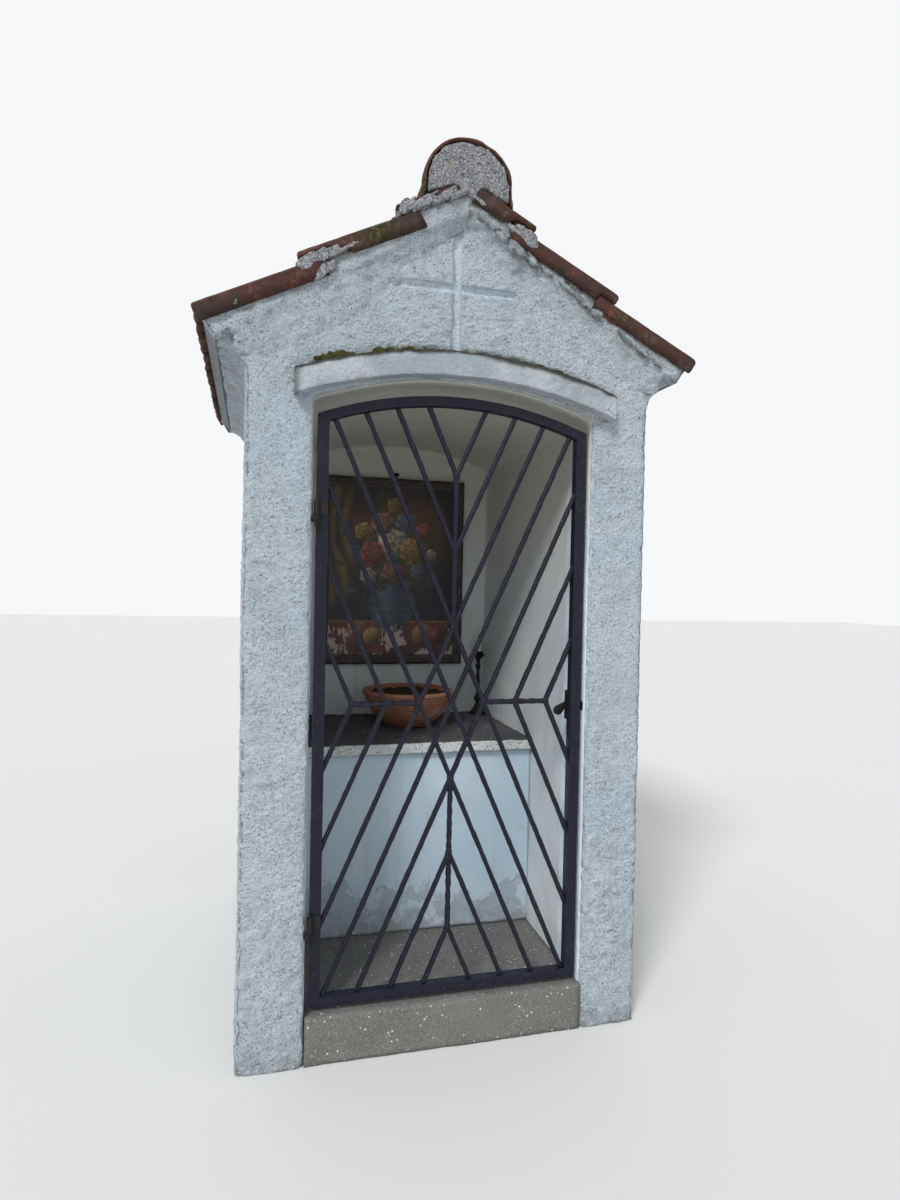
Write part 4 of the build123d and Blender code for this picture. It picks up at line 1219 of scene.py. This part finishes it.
def clipped(start, end):
    # The stretch of a lattice line that lies inside the frame.
    share = np.linspace(0, 1, 900)
    line = np.array(start) + share[:, None] * (np.array(end) - np.array(start))
    within = np.nonzero(inside_frame(line[:, 0], line[:, 1]))[0]
    return line[within[0]], line[within[-1]]


def lattice_runs():
    # Ends of the lattice bars that fall to the right, as (x, z); the others mirror them.
    lean = LATTICE_PITCH / LATTICE_RISE
    reach = 2.0

    def at(line, rise):
        return line * LATTICE_PITCH - lean * rise, LATTICE_Z + rise

    runs = [(at(line, reach), at(line, -reach)) for line in (-1, 0, 1)]
    for line in (2, 3):
        runs.append((at(line, reach), at(line, line * LATTICE_RISE)))
        runs.append((at(line, 0), at(line, -reach)))
        runs.append((at(-line, reach), at(-line, 0)))
        runs.append((at(-line, -line * LATTICE_RISE), at(-line, -reach)))
    return runs


def build_lattice():
    bars = []
    for start, end in lattice_runs():
        (x1, z1), (x2, z2) = clipped(start, end)
        bars += [((side * x1, z1), (side * x2, z2), BAR) for side in (1, -1)]
    near, far = LATTICE_RISE, 3 * LATTICE_RISE
    for low, high in ((near, far), (-far, -near)):
        bars.append(((0, LATTICE_Z + low), (0, LATTICE_Z + high), BAR * 1.04, 6.5, 0.005))
    for pitch in (-LATTICE_PITCH, LATTICE_PITCH):
        bars.append(((pitch, LATTICE_Z), (3 * pitch, LATTICE_Z), BAR * 1.02, 7.0, 0.005))
    parts = []
    for seed, ((x1, z1), (x2, z2), size, *twist) in enumerate(bars, 301):
        parts.append(forged_bar((x1, GATE_MIDDLE_Y, z1), (x2, GATE_MIDDLE_Y, z2), size, seed, *twist))
    knobs = [(0, rises, (0.0115, 0.0095, 0.016)) for rises in (-3, -2, -1, 1, 2, 3)]
    knobs += [(pitches, 0, (0.0125, 0.0095, 0.0105)) for pitches in (-1, -2, -3, 1, 2, 3)]
    for seed, (pitches, rises, radii) in enumerate(knobs, 350):
        centre = (pitches * LATTICE_PITCH, GATE_MIDDLE_Y, LATTICE_Z + rises * LATTICE_RISE)
        parts.append(lump(centre, radii, seed, 0.12, 6))
    add_piece("lattice_bars", merged(parts), GATE_PAINT, ("lattice",), "gate")


def flat_drop(root, tip, neck, blade, thickness, seed):
    # Flat forged tongue that broadens from its neck to a rounded end, seen along Y.
    root, tip = np.array(root, float), np.array(tip, float)
    ahead = (tip - root) / np.linalg.norm(tip - root)
    across = np.cross(ahead, (0, 1, 0))
    length = np.linalg.norm(tip - root) + blade * 0.25
    angles = np.linspace(0, 2 * math.pi, 20, endpoint=False)
    loops = []
    for share in np.concatenate([[0.0, 0.01, 0.04], np.linspace(0.1, 0.9, 14), [0.96, 0.985, 0.998]]):
        width = neck + (blade - neck) * step(share, 0.1, 0.8)
        width *= math.sqrt(max(1 - max((share - 0.72) / 0.28, 0) ** 2, 0.0004))
        flat = thickness * (0.9 + 0.25 * share)
        u = 0.5 * width * np.sign(np.cos(angles)) * np.abs(np.cos(angles)) ** 0.7
        v = 0.5 * flat * np.sign(np.sin(angles)) * np.abs(np.sin(angles)) ** 0.55
        loops.append(root + ahead * share * length + across * u[:, None] + np.array((0, 1, 0)) * v[:, None])
    points, quads = swept(np.array(loops))
    return raised(points, quads, 0.0005 * layered(points, 0.012, seed, 2)), quads


WORN_EDGE = 0.0018

# Ironwork that shows as the CAD has it, with its edges worn
BEVELLED = (
    "hinge_stile", "lock_stile", "arched_head", "bottom_rail", "lock_case", "latch_bolt", "lock_keeper",
    "upper_hinge_eye", "lower_hinge_eye", "upper_pintle", "lower_pintle")


def build_ironwork():
    low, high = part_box("latch_lever")
    y = (low.y + high.y) / 2
    root, tip = (high.x - 0.006, y, high.z - 0.008), (low.x + 0.016, y, low.z + 0.018)
    lever = flat_drop(root, tip, 0.014, 0.034, 0.0088, 401)
    add_piece("latch_tongue", lever, IRON, ("latch_lever",), "gate")
    parts = []
    for number, node in enumerate(("upper_pintle", "lower_pintle")):
        low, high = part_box(node)
        x, y = high.x - 0.006, (low.y + high.y) / 2
        ends = (x, y, low.z + 0.002), (x - 0.002, y, low.z - 0.022)
        parts.append(forged_bar(*ends, 0.0105, 410 + number, spacing=0.003))
        parts.append(lump((low.x + 0.006, y, low.z - 0.001), (0.011, 0.011, 0.008), 420 + number, 0.25, 8))
    add_piece("pintle_tails", merged(parts), IRON)
    for node in BEVELLED:
        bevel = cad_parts[node].modifiers.new("worn_edges", "BEVEL")
        bevel.width = WORN_EDGE
        bevel.segments = 3
        bevel.limit_method = "ANGLE"


PANEL_LOW, PANEL_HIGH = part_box("painting_panel")
FRAME_LOW, FRAME_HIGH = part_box("painting_frame")
PAINT_COLUMNS = 168
PAINT_ROWS = 220
PANEL_ASPECT = 0.76

# Flowers of the still life, as (u, v, radius, colour, petals), and its fruits, as (u, v, radius, colour)
BLOOMS = (
    (0.50, 0.66, 0.105, (0.50, 0.43, 0.33), 7), (0.34, 0.60, 0.085, (0.33, 0.085, 0.06), 6),
    (0.66, 0.62, 0.090, (0.40, 0.235, 0.075), 8), (0.42, 0.78, 0.075, (0.38, 0.19, 0.15), 6),
    (0.60, 0.79, 0.070, (0.16, 0.19, 0.245), 7), (0.27, 0.73, 0.060, (0.42, 0.27, 0.09), 5),
    (0.74, 0.74, 0.058, (0.36, 0.10, 0.07), 6), (0.50, 0.50, 0.070, (0.30, 0.13, 0.10), 6),
    (0.31, 0.47, 0.055, (0.42, 0.37, 0.29), 6), (0.70, 0.50, 0.052, (0.13, 0.16, 0.21), 5),
    (0.51, 0.89, 0.050, (0.40, 0.25, 0.09), 5), (0.80, 0.60, 0.042, (0.44, 0.39, 0.30), 5),
    (0.20, 0.62, 0.040, (0.15, 0.18, 0.23), 5),
)
FRUITS = ((0.24, 0.135, 0.070, (0.31, 0.10, 0.045)), (0.35, 0.115, 0.055, (0.36, 0.24, 0.075)),
          (0.75, 0.125, 0.068, (0.33, 0.20, 0.065)), (0.86, 0.115, 0.052, (0.24, 0.055, 0.04)))


def still_life(u, v):
    # Colours of an old still life: flowers in a blue vase, fruit on a red cloth and an ochre curtain.
    aspect = PANEL_ASPECT
    rng = random.Random(12)
    flat = np.stack([u * aspect, v, np.zeros_like(u)], axis=-1)
    colour = np.tile((0.011, 0.012, 0.020), (len(u), 1))

    def lay(amount, tint, light=1.0):
        nonlocal colour
        shade = np.array(tint) * np.reshape(light, (-1, 1))
        colour = colour * (1 - amount[:, None]) + shade * amount[:, None]

    def around(middle_u, middle_v, radius=1.0):
        du, dv = (u - middle_u) * aspect, v - middle_v
        return du, dv, np.sqrt(du**2 + dv**2) / radius

    glow = np.exp(-(((u - 0.56) * aspect / 0.25) ** 2 + ((v - 0.72) / 0.22) ** 2))
    lay(glow * 0.85 * (0.85 + 0.25 * field(flat, 0.05, 3)), (0.24, 0.10, 0.032))
    curtain = step(u, 0.25, 0.10) * step(v, 0.30, 0.44) + step(u, 0.09, 0.02) * step(v, 0.2, 0.4)
    folds = 0.5 + 0.5 * np.sin(u * 58 + 5 * field(flat, 0.3, 5) + v * 5)
    lay(np.clip(curtain, 0, 1) * 0.85, (0.20, 0.125, 0.042), 0.35 + 0.85 * folds)
    table = step(v, 0.215, 0.20)
    wave = 0.5 + 0.5 * np.sin(u * 31 + 4 * field(flat, 0.2, 7))
    fall = step(v, 0.02, 0.19)
    lay(table, (0.155, 0.036, 0.026), 0.45 + 0.6 * (wave * (1 - fall) + fall * 0.9))
    lay(step(np.abs(v - 0.203), 0.008, 0.002) * 0.8, (0.30, 0.19, 0.08))
    height = (v - 0.13) / 0.29
    girth = 0.062 + 0.085 * np.sin(np.clip(height, 0, 1) * math.pi * 0.86) ** 1.3
    girth -= 0.03 * step(height, 0.75, 1.0)
    girth += 0.018 * step(height, 0.93, 1.0)
    off = (u - 0.50) * aspect / np.maximum(girth, 1e-3)
    vase = step(np.abs(off), 1.0, 0.94) * step(height, 0, 0.02) * step(height, 1.02, 1.0)
    lit = 0.30 + 0.75 * np.exp(-((off + 0.38) ** 2) / 0.20) + 0.25 * np.exp(-((off - 0.8) ** 2) / 0.02)
    bands = 0.85 + 0.2 * np.sin(height * 40) * step(np.abs(height - 0.5), 0.2, 0.1)
    lay(vase, (0.110, 0.150, 0.215), lit * bands)
    for _ in range(120):
        du, dv, _ = around(rng.gauss(0.5, 0.17), rng.gauss(0.63, 0.14))
        turn, length = rng.uniform(0, math.pi), rng.uniform(0.025, 0.06)
        p = du * math.cos(turn) + dv * math.sin(turn)
        q = -du * math.sin(turn) + dv * math.cos(turn)
        leaf = step(np.sqrt((p / length) ** 2 + (q / (length * 0.3)) ** 2), 1.0, 0.8)
        green = np.array((0.045, 0.058, 0.026)) * rng.uniform(0.5, 1.5)
        lay(leaf * 0.85, green, 0.8 + 0.5 * step(q, 0, 0.004))
    for number, (cu, cv, radius, tint, petals) in enumerate(BLOOMS):
        du, dv, distance = around(cu, cv, radius)
        angle = np.arctan2(dv, du) + number
        rim = 1 - 0.14 * np.abs(np.sin(angle * petals / 2)) + 0.05 * field(flat, 0.02, 20 + number)
        mask = step(rim - distance, 0, 0.09)
        inner = 0.72 + 0.30 * np.sin(distance * 9 + 1.6 * np.sin(angle * petals)) * step(distance, 0.1, 0.4)
        light = np.clip(0.78 + 0.42 * (dv - du) / radius, 0.3, 1.3)
        lay(mask, tint, inner * light)
        lay(step(distance, 0.2, 0.1) * 0.9, (0.15, 0.09, 0.03))
    for cu, cv, radius, tint in FRUITS:
        du, dv, distance = around(cu, cv, radius)
        light = np.clip(0.62 + 0.6 * (dv - du) / radius, 0.18, 1.35)
        lay(step(distance, 1.0, 0.94), tint, light)
        shine = np.exp(-((du + radius * 0.35) ** 2 + (dv - radius * 0.38) ** 2) / (radius * 0.15) ** 2)
        lay(shine * 0.5, (0.5, 0.44, 0.36))
    age = 0.85 + 0.25 * layered(flat, 0.12, 31, 4)
    vignette = 1 - 0.45 * step(np.maximum(np.abs(u - 0.5), np.abs(v - 0.5) * 0.95), 0.32, 0.5)
    colour = colour * (1.3 * age * vignette)[:, None]
    flaked = step(0.30 - v, 0.0, 0.22) * step(layered(flat, 0.16, 37, 3), -0.6, 0.5)
    flaked = np.maximum(flaked, 0.35 * step(layered(flat, 0.2, 39, 3), 0.5, 1.0))
    return np.clip(colour, 0, 1), flaked


def build_painting():
    columns, rows = np.linspace(0, 1, PAINT_COLUMNS + 1), np.linspace(0, 1, PAINT_ROWS + 1)
    u, v = np.meshgrid(columns, rows)
    u, v = u.ravel(), v.ravel()
    x = PANEL_LOW.x + u * (PANEL_HIGH.x - PANEL_LOW.x)
    z = PANEL_LOW.z + v * (PANEL_HIGH.z - PANEL_LOW.z)
    warp = 0.0007 * field(np.stack([x, z, z * 0], axis=-1), 0.2, 45)
    points = np.stack([x, PANEL_LOW.y - 0.0006 - np.maximum(warp, -0.0004), z], axis=-1)
    points, quads = swept(points.reshape(PAINT_ROWS + 1, PAINT_COLUMNS + 1, 3), wrap=False)
    colour, flaked = still_life(u, v)
    add_piece("painting_surface", (points, quads, {"tint": colour, "flaked": flaked}), CANVAS)
    build_moulding()


# Section of the picture frame, as (distance in from its outer edge, distance out from the wall)
MOULDING = np.array((
    (0.000, 0.000), (0.000, 0.022), (0.002, 0.0275), (0.006, 0.030), (0.012, 0.0345), (0.019, 0.0345),
    (0.025, 0.031), (0.027, 0.0265), (0.030, 0.0255), (0.036, 0.0275), (0.041, 0.0265), (0.045, 0.0225),
    (0.047, 0.0190), (0.047, 0.0125), (0.020, 0.0125), (0.020, 0.000)))


def build_moulding():
    (x1, back, z1), (x2, _, z2) = (FRAME_LOW.x, FRAME_HIGH.y, FRAME_LOW.z), FRAME_HIGH
    corners = np.array(((x1, z1), (x2, z1), (x2, z2), (x1, z2), (x1, z1)))
    inwards = np.array(((1, 1), (-1, 1), (-1, -1), (1, -1), (1, 1)))
    share = np.linspace(0, 1, 48, endpoint=False)[:, None]
    inset, rise = MOULDING.T
    loops = []
    for index in range(4):
        edge = (1 - share) * corners[index] + share * corners[index + 1]
        lean = (1 - share) * inwards[index] + share * inwards[index + 1]
        x, z = (edge[:, axis, None] + lean[:, axis, None] * inset for axis in (0, 1))
        loops.append(np.stack([x, np.broadcast_to(back - rise, x.shape), z], axis=-1))
    loops = np.concatenate(loops)
    points, quads = swept(np.concatenate([loops, loops[:1]]), caps=False)
    points = points + 0.0005 * np.stack([field(points, 0.03, seed) for seed in (61, 62, 63)], -1)
    points[:, 1] = np.minimum(points[:, 1], back)
    add_piece("painting_frame_moulding", (points, quads), WOOD, ("painting_frame",))
    x, y, z = (x1 + x2) / 2 + 0.012, FRAME_LOW.y + 0.02, z2
    hook = [forged_bar((x, y, z - 0.004), (x, y, z + 0.020), 0.007, 460, spacing=0.003),
            lump((x, y + 0.002, z + 0.020), (0.012, 0.008, 0.008), 461, 0.25, 6)]
    add_piece("painting_hook", merged(hook), IRON)


def revolved(profile, segments):
    # Turned shape from (radius, height) points.
    profile = np.array(profile, float)
    angles = np.linspace(0, 2 * math.pi, segments, endpoint=False)
    radius = np.maximum(profile[:, :1], 0.0003)
    height = np.repeat(profile[:, 1:], segments, axis=1)
    return swept(np.stack([radius * np.cos(angles), radius * np.sin(angles), height], axis=-1))


def smooth_profile(corners, count):
    # Points of a smooth curve through the given (radius, height) corners.
    corners = np.array(corners, float)
    spans = np.concatenate([[0], np.cumsum(np.linalg.norm(np.diff(corners, axis=0), axis=1))])
    t = np.linspace(0, spans[-1], count)
    slopes = np.gradient(corners, spans, axis=0)
    out = []
    for value in t:
        k = min(np.searchsorted(spans, value, side="right") - 1, len(corners) - 2)
        width = spans[k + 1] - spans[k]
        s = (value - spans[k]) / width
        out.append((2 * s**3 - 3 * s**2 + 1) * corners[k] + (s**3 - 2 * s**2 + s) * width * slopes[k]
                   + (-2 * s**3 + 3 * s**2) * corners[k + 1] + (s**3 - s**2) * width * slopes[k + 1])
    return np.array(out)


RIB_SPACING = 0.0115


def build_bowl():
    centre, rim, height = foot_of("planter_bowl")
    body = smooth_profile(((0.092, 0.000), (0.106, 0.012), (0.140, 0.040), (0.166, 0.078), (0.181, 0.112),
                           (0.187, height - 0.020)), 84)
    ribs = np.abs(np.sin(body[:, 1] / RIB_SPACING * math.pi)) * 2 - 1.3
    body[:, 0] += 0.0028 * ribs * step(body[:, 1], 0.010, 0.02) * step(height - 0.022 - body[:, 1], 0, 0.01)
    lip = [(rim - 0.004, height - 0.0175), (rim - 0.0010, height - 0.014), (rim - 0.0006, height - 0.007),
           (rim - 0.003, height - 0.0015), (rim - 0.008, height), (rim - 0.016, height - 0.001),
           (rim - 0.021, height - 0.005), (rim - 0.023, height - 0.014), (rim - 0.027, height - 0.028),
           (0.100, 0.030), (0.080, 0.014), (0.0, 0.014)]
    profile = np.concatenate([[(0.0, 0.001), (0.080, 0.001)], body, lip])
    points, quads = revolved(profile, 96)
    points[:, :2] *= 1 + 0.004 * field(points, 0.12, 71)[:, None]
    points += centre
    low_down = points[:, 2] - centre[2]
    # Grooves between the ribs, which the terracotta darkens as painted shade.
    groove = step(np.abs(np.sin(low_down / RIB_SPACING * math.pi)), 0.62, 0.10)
    groove *= step(low_down, 0.012, 0.02) * step(height - 0.020 - low_down, 0, 0.006)
    out = points[:, :2] - centre[:2]
    spread = np.hypot(*out.T)
    shrink = np.minimum(1, (rim - 0.0003) / np.maximum(spread, 1e-6))
    points[:, :2] = centre[:2] + out * shrink[:, None]
    groove *= spread > 0.09
    add_piece("bowl_ribbed", (points, quads, {"groove": groove}), TERRACOTTA, ("planter_bowl",))
    build_soil(centre)


def build_soil(centre):
    radius = foot_of("planter_soil")[1] - 0.0005
    rings = np.concatenate([[0.0006], np.linspace(0.004, radius, 42)])
    points, quads = revolved([*((ring, 0.0) for ring in rings), (0.12, -0.06)], 110)
    spread = np.hypot(points[:, 0], points[:, 1])
    clods = 0.007 * layered(points, 0.030, 91, 3, 0.6)
    clods += 0.004 * step(layered(points, 0.016, 95, 2), 0.1, 0.6)
    mound = 0.006 * (1 - (spread / radius) ** 2)
    points[:, 2] += (clods + mound - 0.006) * (points[:, 2] > -0.05)
    points += (centre[0], centre[1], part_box("planter_soil")[1].z)
    add_piece("soil_clods", (points, quads), SOIL, ("planter_soil",))


# Outline of a candlestick, as (radius, height)
STICK_PROFILE = (
    (0.0, 0.000), (0.036, 0.000), (0.0385, 0.002), (0.0385, 0.007), (0.034, 0.011), (0.026, 0.020),
    (0.016, 0.034), (0.010, 0.050), (0.0085, 0.058), (0.014, 0.063), (0.0168, 0.072), (0.0150, 0.082),
    (0.0085, 0.088), (0.0070, 0.096), (0.0082, 0.120), (0.0095, 0.150), (0.0080, 0.185),
    (0.0068, 0.206), (0.0110, 0.212), (0.0128, 0.219), (0.0110, 0.226), (0.0068, 0.232),
    (0.0080, 0.244), (0.0125, 0.256), (0.0230, 0.266), (0.0285, 0.272), (0.0290, 0.276),
    (0.0235, 0.2785), (0.0190, 0.288), (0.0185, 0.291), (0.0, 0.291))


def build_candlestick(name):
    centre, _, _ = foot_of(name)
    fine = np.repeat(np.array(STICK_PROFILE), 3, axis=0)[:-2]
    fine[1::3] = (2 * fine[0:-1:3] + fine[3::3]) / 3
    fine[2::3] = (fine[0:-1:3] + 2 * fine[3::3]) / 3
    points, quads = revolved(fine, 40)
    x, y, z = points.T
    stem = step(z, 0.092, 0.105) * step(0.205 - z, 0, 0.012)
    flutes = 1 + 0.13 * stem * np.cos(4 * (np.arctan2(y, x) + z * 55))
    points[:, :2] *= flutes[:, None]
    add_piece(f"{name}_turned", (points + centre, quads), IRON, (name,))


WICK_HEIGHT = 0.012


def build_candle(name, number):
    centre, radius, height = foot_of(name)
    tall = height - WICK_HEIGHT
    profile = [(0.0, 0.0), (radius - 0.001, 0.0), (radius - 0.0004, 0.002)]
    profile += [(radius - 0.0008, z) for z in np.linspace(0.006, tall - 0.010, 14)]
    profile += [(radius - 0.001, tall - 0.005), (radius - 0.0022, tall - 0.001), (radius - 0.0045, tall),
                (radius - 0.007, tall - 0.003), (0.005, tall - 0.006), (0.0, tall - 0.006)]
    points, quads = revolved(profile, 44)
    x, y, z = points.T
    around = np.stack([np.arctan2(y, x) * 0.016, z * 0.15, z * 0], -1)
    drip = step(field(around, 0.009, 500 + number), 0.35, 0.8)
    sag = 0.003 * field(points * (1, 1, 0), 0.02, 510 + number)
    points[:, 2] += (sag - 0.003) * step(z, tall * 0.5, tall)
    points[:, :2] *= (1 - 0.0011 * (1 - drip) / radius)[:, None]
    add_piece(f"{name}_wax", (points + centre, quads), WAX, (name,))
    x, y, top = centre[0], centre[1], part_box(name)[1].z
    ends = (x, y, top - 0.020), (x + 0.0015, y, top - 0.002)
    wick = forged_bar(*ends, 0.0018, 520 + number, spacing=0.002)
    add_piece(f"{name}_wick", wick, IRON)


def build_candles():
    for number, side in enumerate(("left", "right")):
        build_candlestick(f"{side}_candlestick")
        build_candle(f"{side}_candle", number)


SEAM_OVERLAP = 0.004
FRONT_VOXEL = 0.0058
BODY_VOXEL = 0.0112
MASONRY = ("left_wall", "right_wall", "back_wall", "vault", "arch_lintel", "front_gable", "back_gable",
           "left_cornice", "right_cornice")


def build_front():
    points, normals, quads = remesh(solids(MASONRY, back=LINTEL_INNER_Y + 0.03), FRONT_VOXEL)
    points, values = rendered(points, normals)
    middle, facing = centres(points, quads)
    keep = middle[:, 1] < LINTEL_INNER_Y + SEAM_OVERLAP
    keep &= ~((facing[:, 1] > 0.6) & (middle[:, 1] > LINTEL_INNER_Y - 0.012))
    for side, half in (("left", middle[:, 0] < 0), ("right", middle[:, 0] >= 0)):
        mesh = cut_piece(points, quads, keep & half, values)
        add_object(f"front_{side}_render", mesh, ROUGHCAST, (f"{side}_wall", "arch_lintel", "front_gable"))


def build_body():
    points, normals, quads = remesh(solids(MASONRY, front=LINTEL_INNER_Y - 0.03), BODY_VOXEL)
    points, values = rendered(points, normals)
    middle, facing = centres(points, quads)
    x, y, z = middle.T
    behind = y > LINTEL_INNER_Y - SEAM_OVERLAP
    behind &= ~((facing[:, 1] < -0.6) & (y < LINTEL_INNER_Y + 0.012))
    within = (np.abs(x) < NICHE_X + 0.02) & (y < NICHE_BACK_Y + 0.02)
    over_arch = z - arch_height(x)
    niche = within & (over_arch < 0.02) & (z > FLOOR_Z - 0.02)
    loft = within & (over_arch > 0.02) & (z < roof_underside(x) + 0.02)
    hidden = loft | (within & (z <= FLOOR_Z - 0.02))
    mesh = cut_piece(points, quads, behind & niche, values)
    add_object("niche_limewash", mesh, LIMEWASH, ("back_wall", "vault"))
    outside = behind & ~niche & ~hidden
    for name, half, stands_for in (
        ("left_render", x < 0, ("left_cornice", "left_wall")),
        ("right_render", x >= 0, ("right_cornice", "right_wall", "back_gable")),
    ):
        add_object(name, cut_piece(points, quads, outside & half, values), ROUGHCAST, stands_for)


def make_camera():
    yaw, pitch, roll = (math.radians(a) for a in (CAMERA_YAW, CAMERA_PITCH, CAMERA_ROLL))
    ahead = Vector((math.sin(yaw) * math.cos(pitch), math.cos(yaw) * math.cos(pitch), math.sin(pitch)))
    right = Vector((math.cos(yaw), -math.sin(yaw), 0))
    up = right.cross(ahead)
    tilted_right = right * math.cos(roll) + up * math.sin(roll)
    tilted_up = up * math.cos(roll) - right * math.sin(roll)
    data = bpy.data.cameras.new("camera")
    data.lens = CAMERA_LENS
    data.sensor_width = CAMERA_SENSOR
    camera = bpy.data.objects.new("camera", data)
    camera.matrix_world = Matrix.Translation(CAMERA_PLACE) @ Matrix(
        (tilted_right, tilted_up, -ahead)).transposed().to_4x4()
    bpy.context.scene.collection.objects.link(camera)
    bpy.context.scene.camera = camera


WORLD_LIGHT = 0.67
WORLD_COLOUR = (0.97, 0.985, 1, 1)
BACKDROP_LIGHT = 0.95
FLOOR_SIZE = 60
SUN_LIGHT = 2.1
SUN_SOFTNESS = math.radians(14)
SUN_TURN = (math.radians(48), 0, math.radians(-38))


def make_light():
    sun = bpy.data.objects.new("sun", bpy.data.lights.new("sun", "SUN"))
    sun.data.energy = SUN_LIGHT
    sun.data.angle = SUN_SOFTNESS
    sun.rotation_euler = SUN_TURN
    bpy.context.scene.collection.objects.link(sun)
    world = bpy.data.worlds.new("world")
    world.use_nodes = True
    nodes, links = world.node_tree.nodes, world.node_tree.links
    path = nodes.new("ShaderNodeLightPath")
    seen = nodes.new("ShaderNodeMath")
    seen.operation = "MAXIMUM"
    links.new(path.outputs["Is Camera Ray"], seen.inputs[0])
    links.new(path.outputs["Is Glossy Ray"], seen.inputs[1])
    level = nodes.new("ShaderNodeMapRange")
    links.new(seen.outputs[0], level.inputs["Value"])
    level.inputs["To Min"].default_value = WORLD_LIGHT
    level.inputs["To Max"].default_value = BACKDROP_LIGHT
    background = nodes["Background"]
    background.inputs["Color"].default_value = WORLD_COLOUR
    links.new(level.outputs[0], background.inputs["Strength"])
    bpy.context.scene.world = world
    bpy.context.scene.view_settings.view_transform = "Standard"


def make_floor():
    bpy.ops.mesh.primitive_plane_add(size=FLOOR_SIZE)
    floor = bpy.context.object
    floor.name = "studio_floor"
    p = Paint("studio_floor")
    p.colour = p.mix(p.noise(0.6, 2), (0.71, 0.71, 0.70), (0.73, 0.73, 0.72))
    floor.data.materials.append(p.finish(0.9))


make_camera()
make_light()
make_floor()
for material, nodes in NODE_MATERIALS.items():
    for node in nodes:
        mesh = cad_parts[node].data
        if not mesh.materials:
            mesh.materials.append(material)
        for index in range(len(mesh.materials)):
            mesh.materials[index] = material
build_front()
build_body()
build_hood()
build_verges()
build_moss()
build_tiles()
build_ridge()
build_altar()
build_lattice()
build_ironwork()
build_painting()
build_bowl()
build_candles()
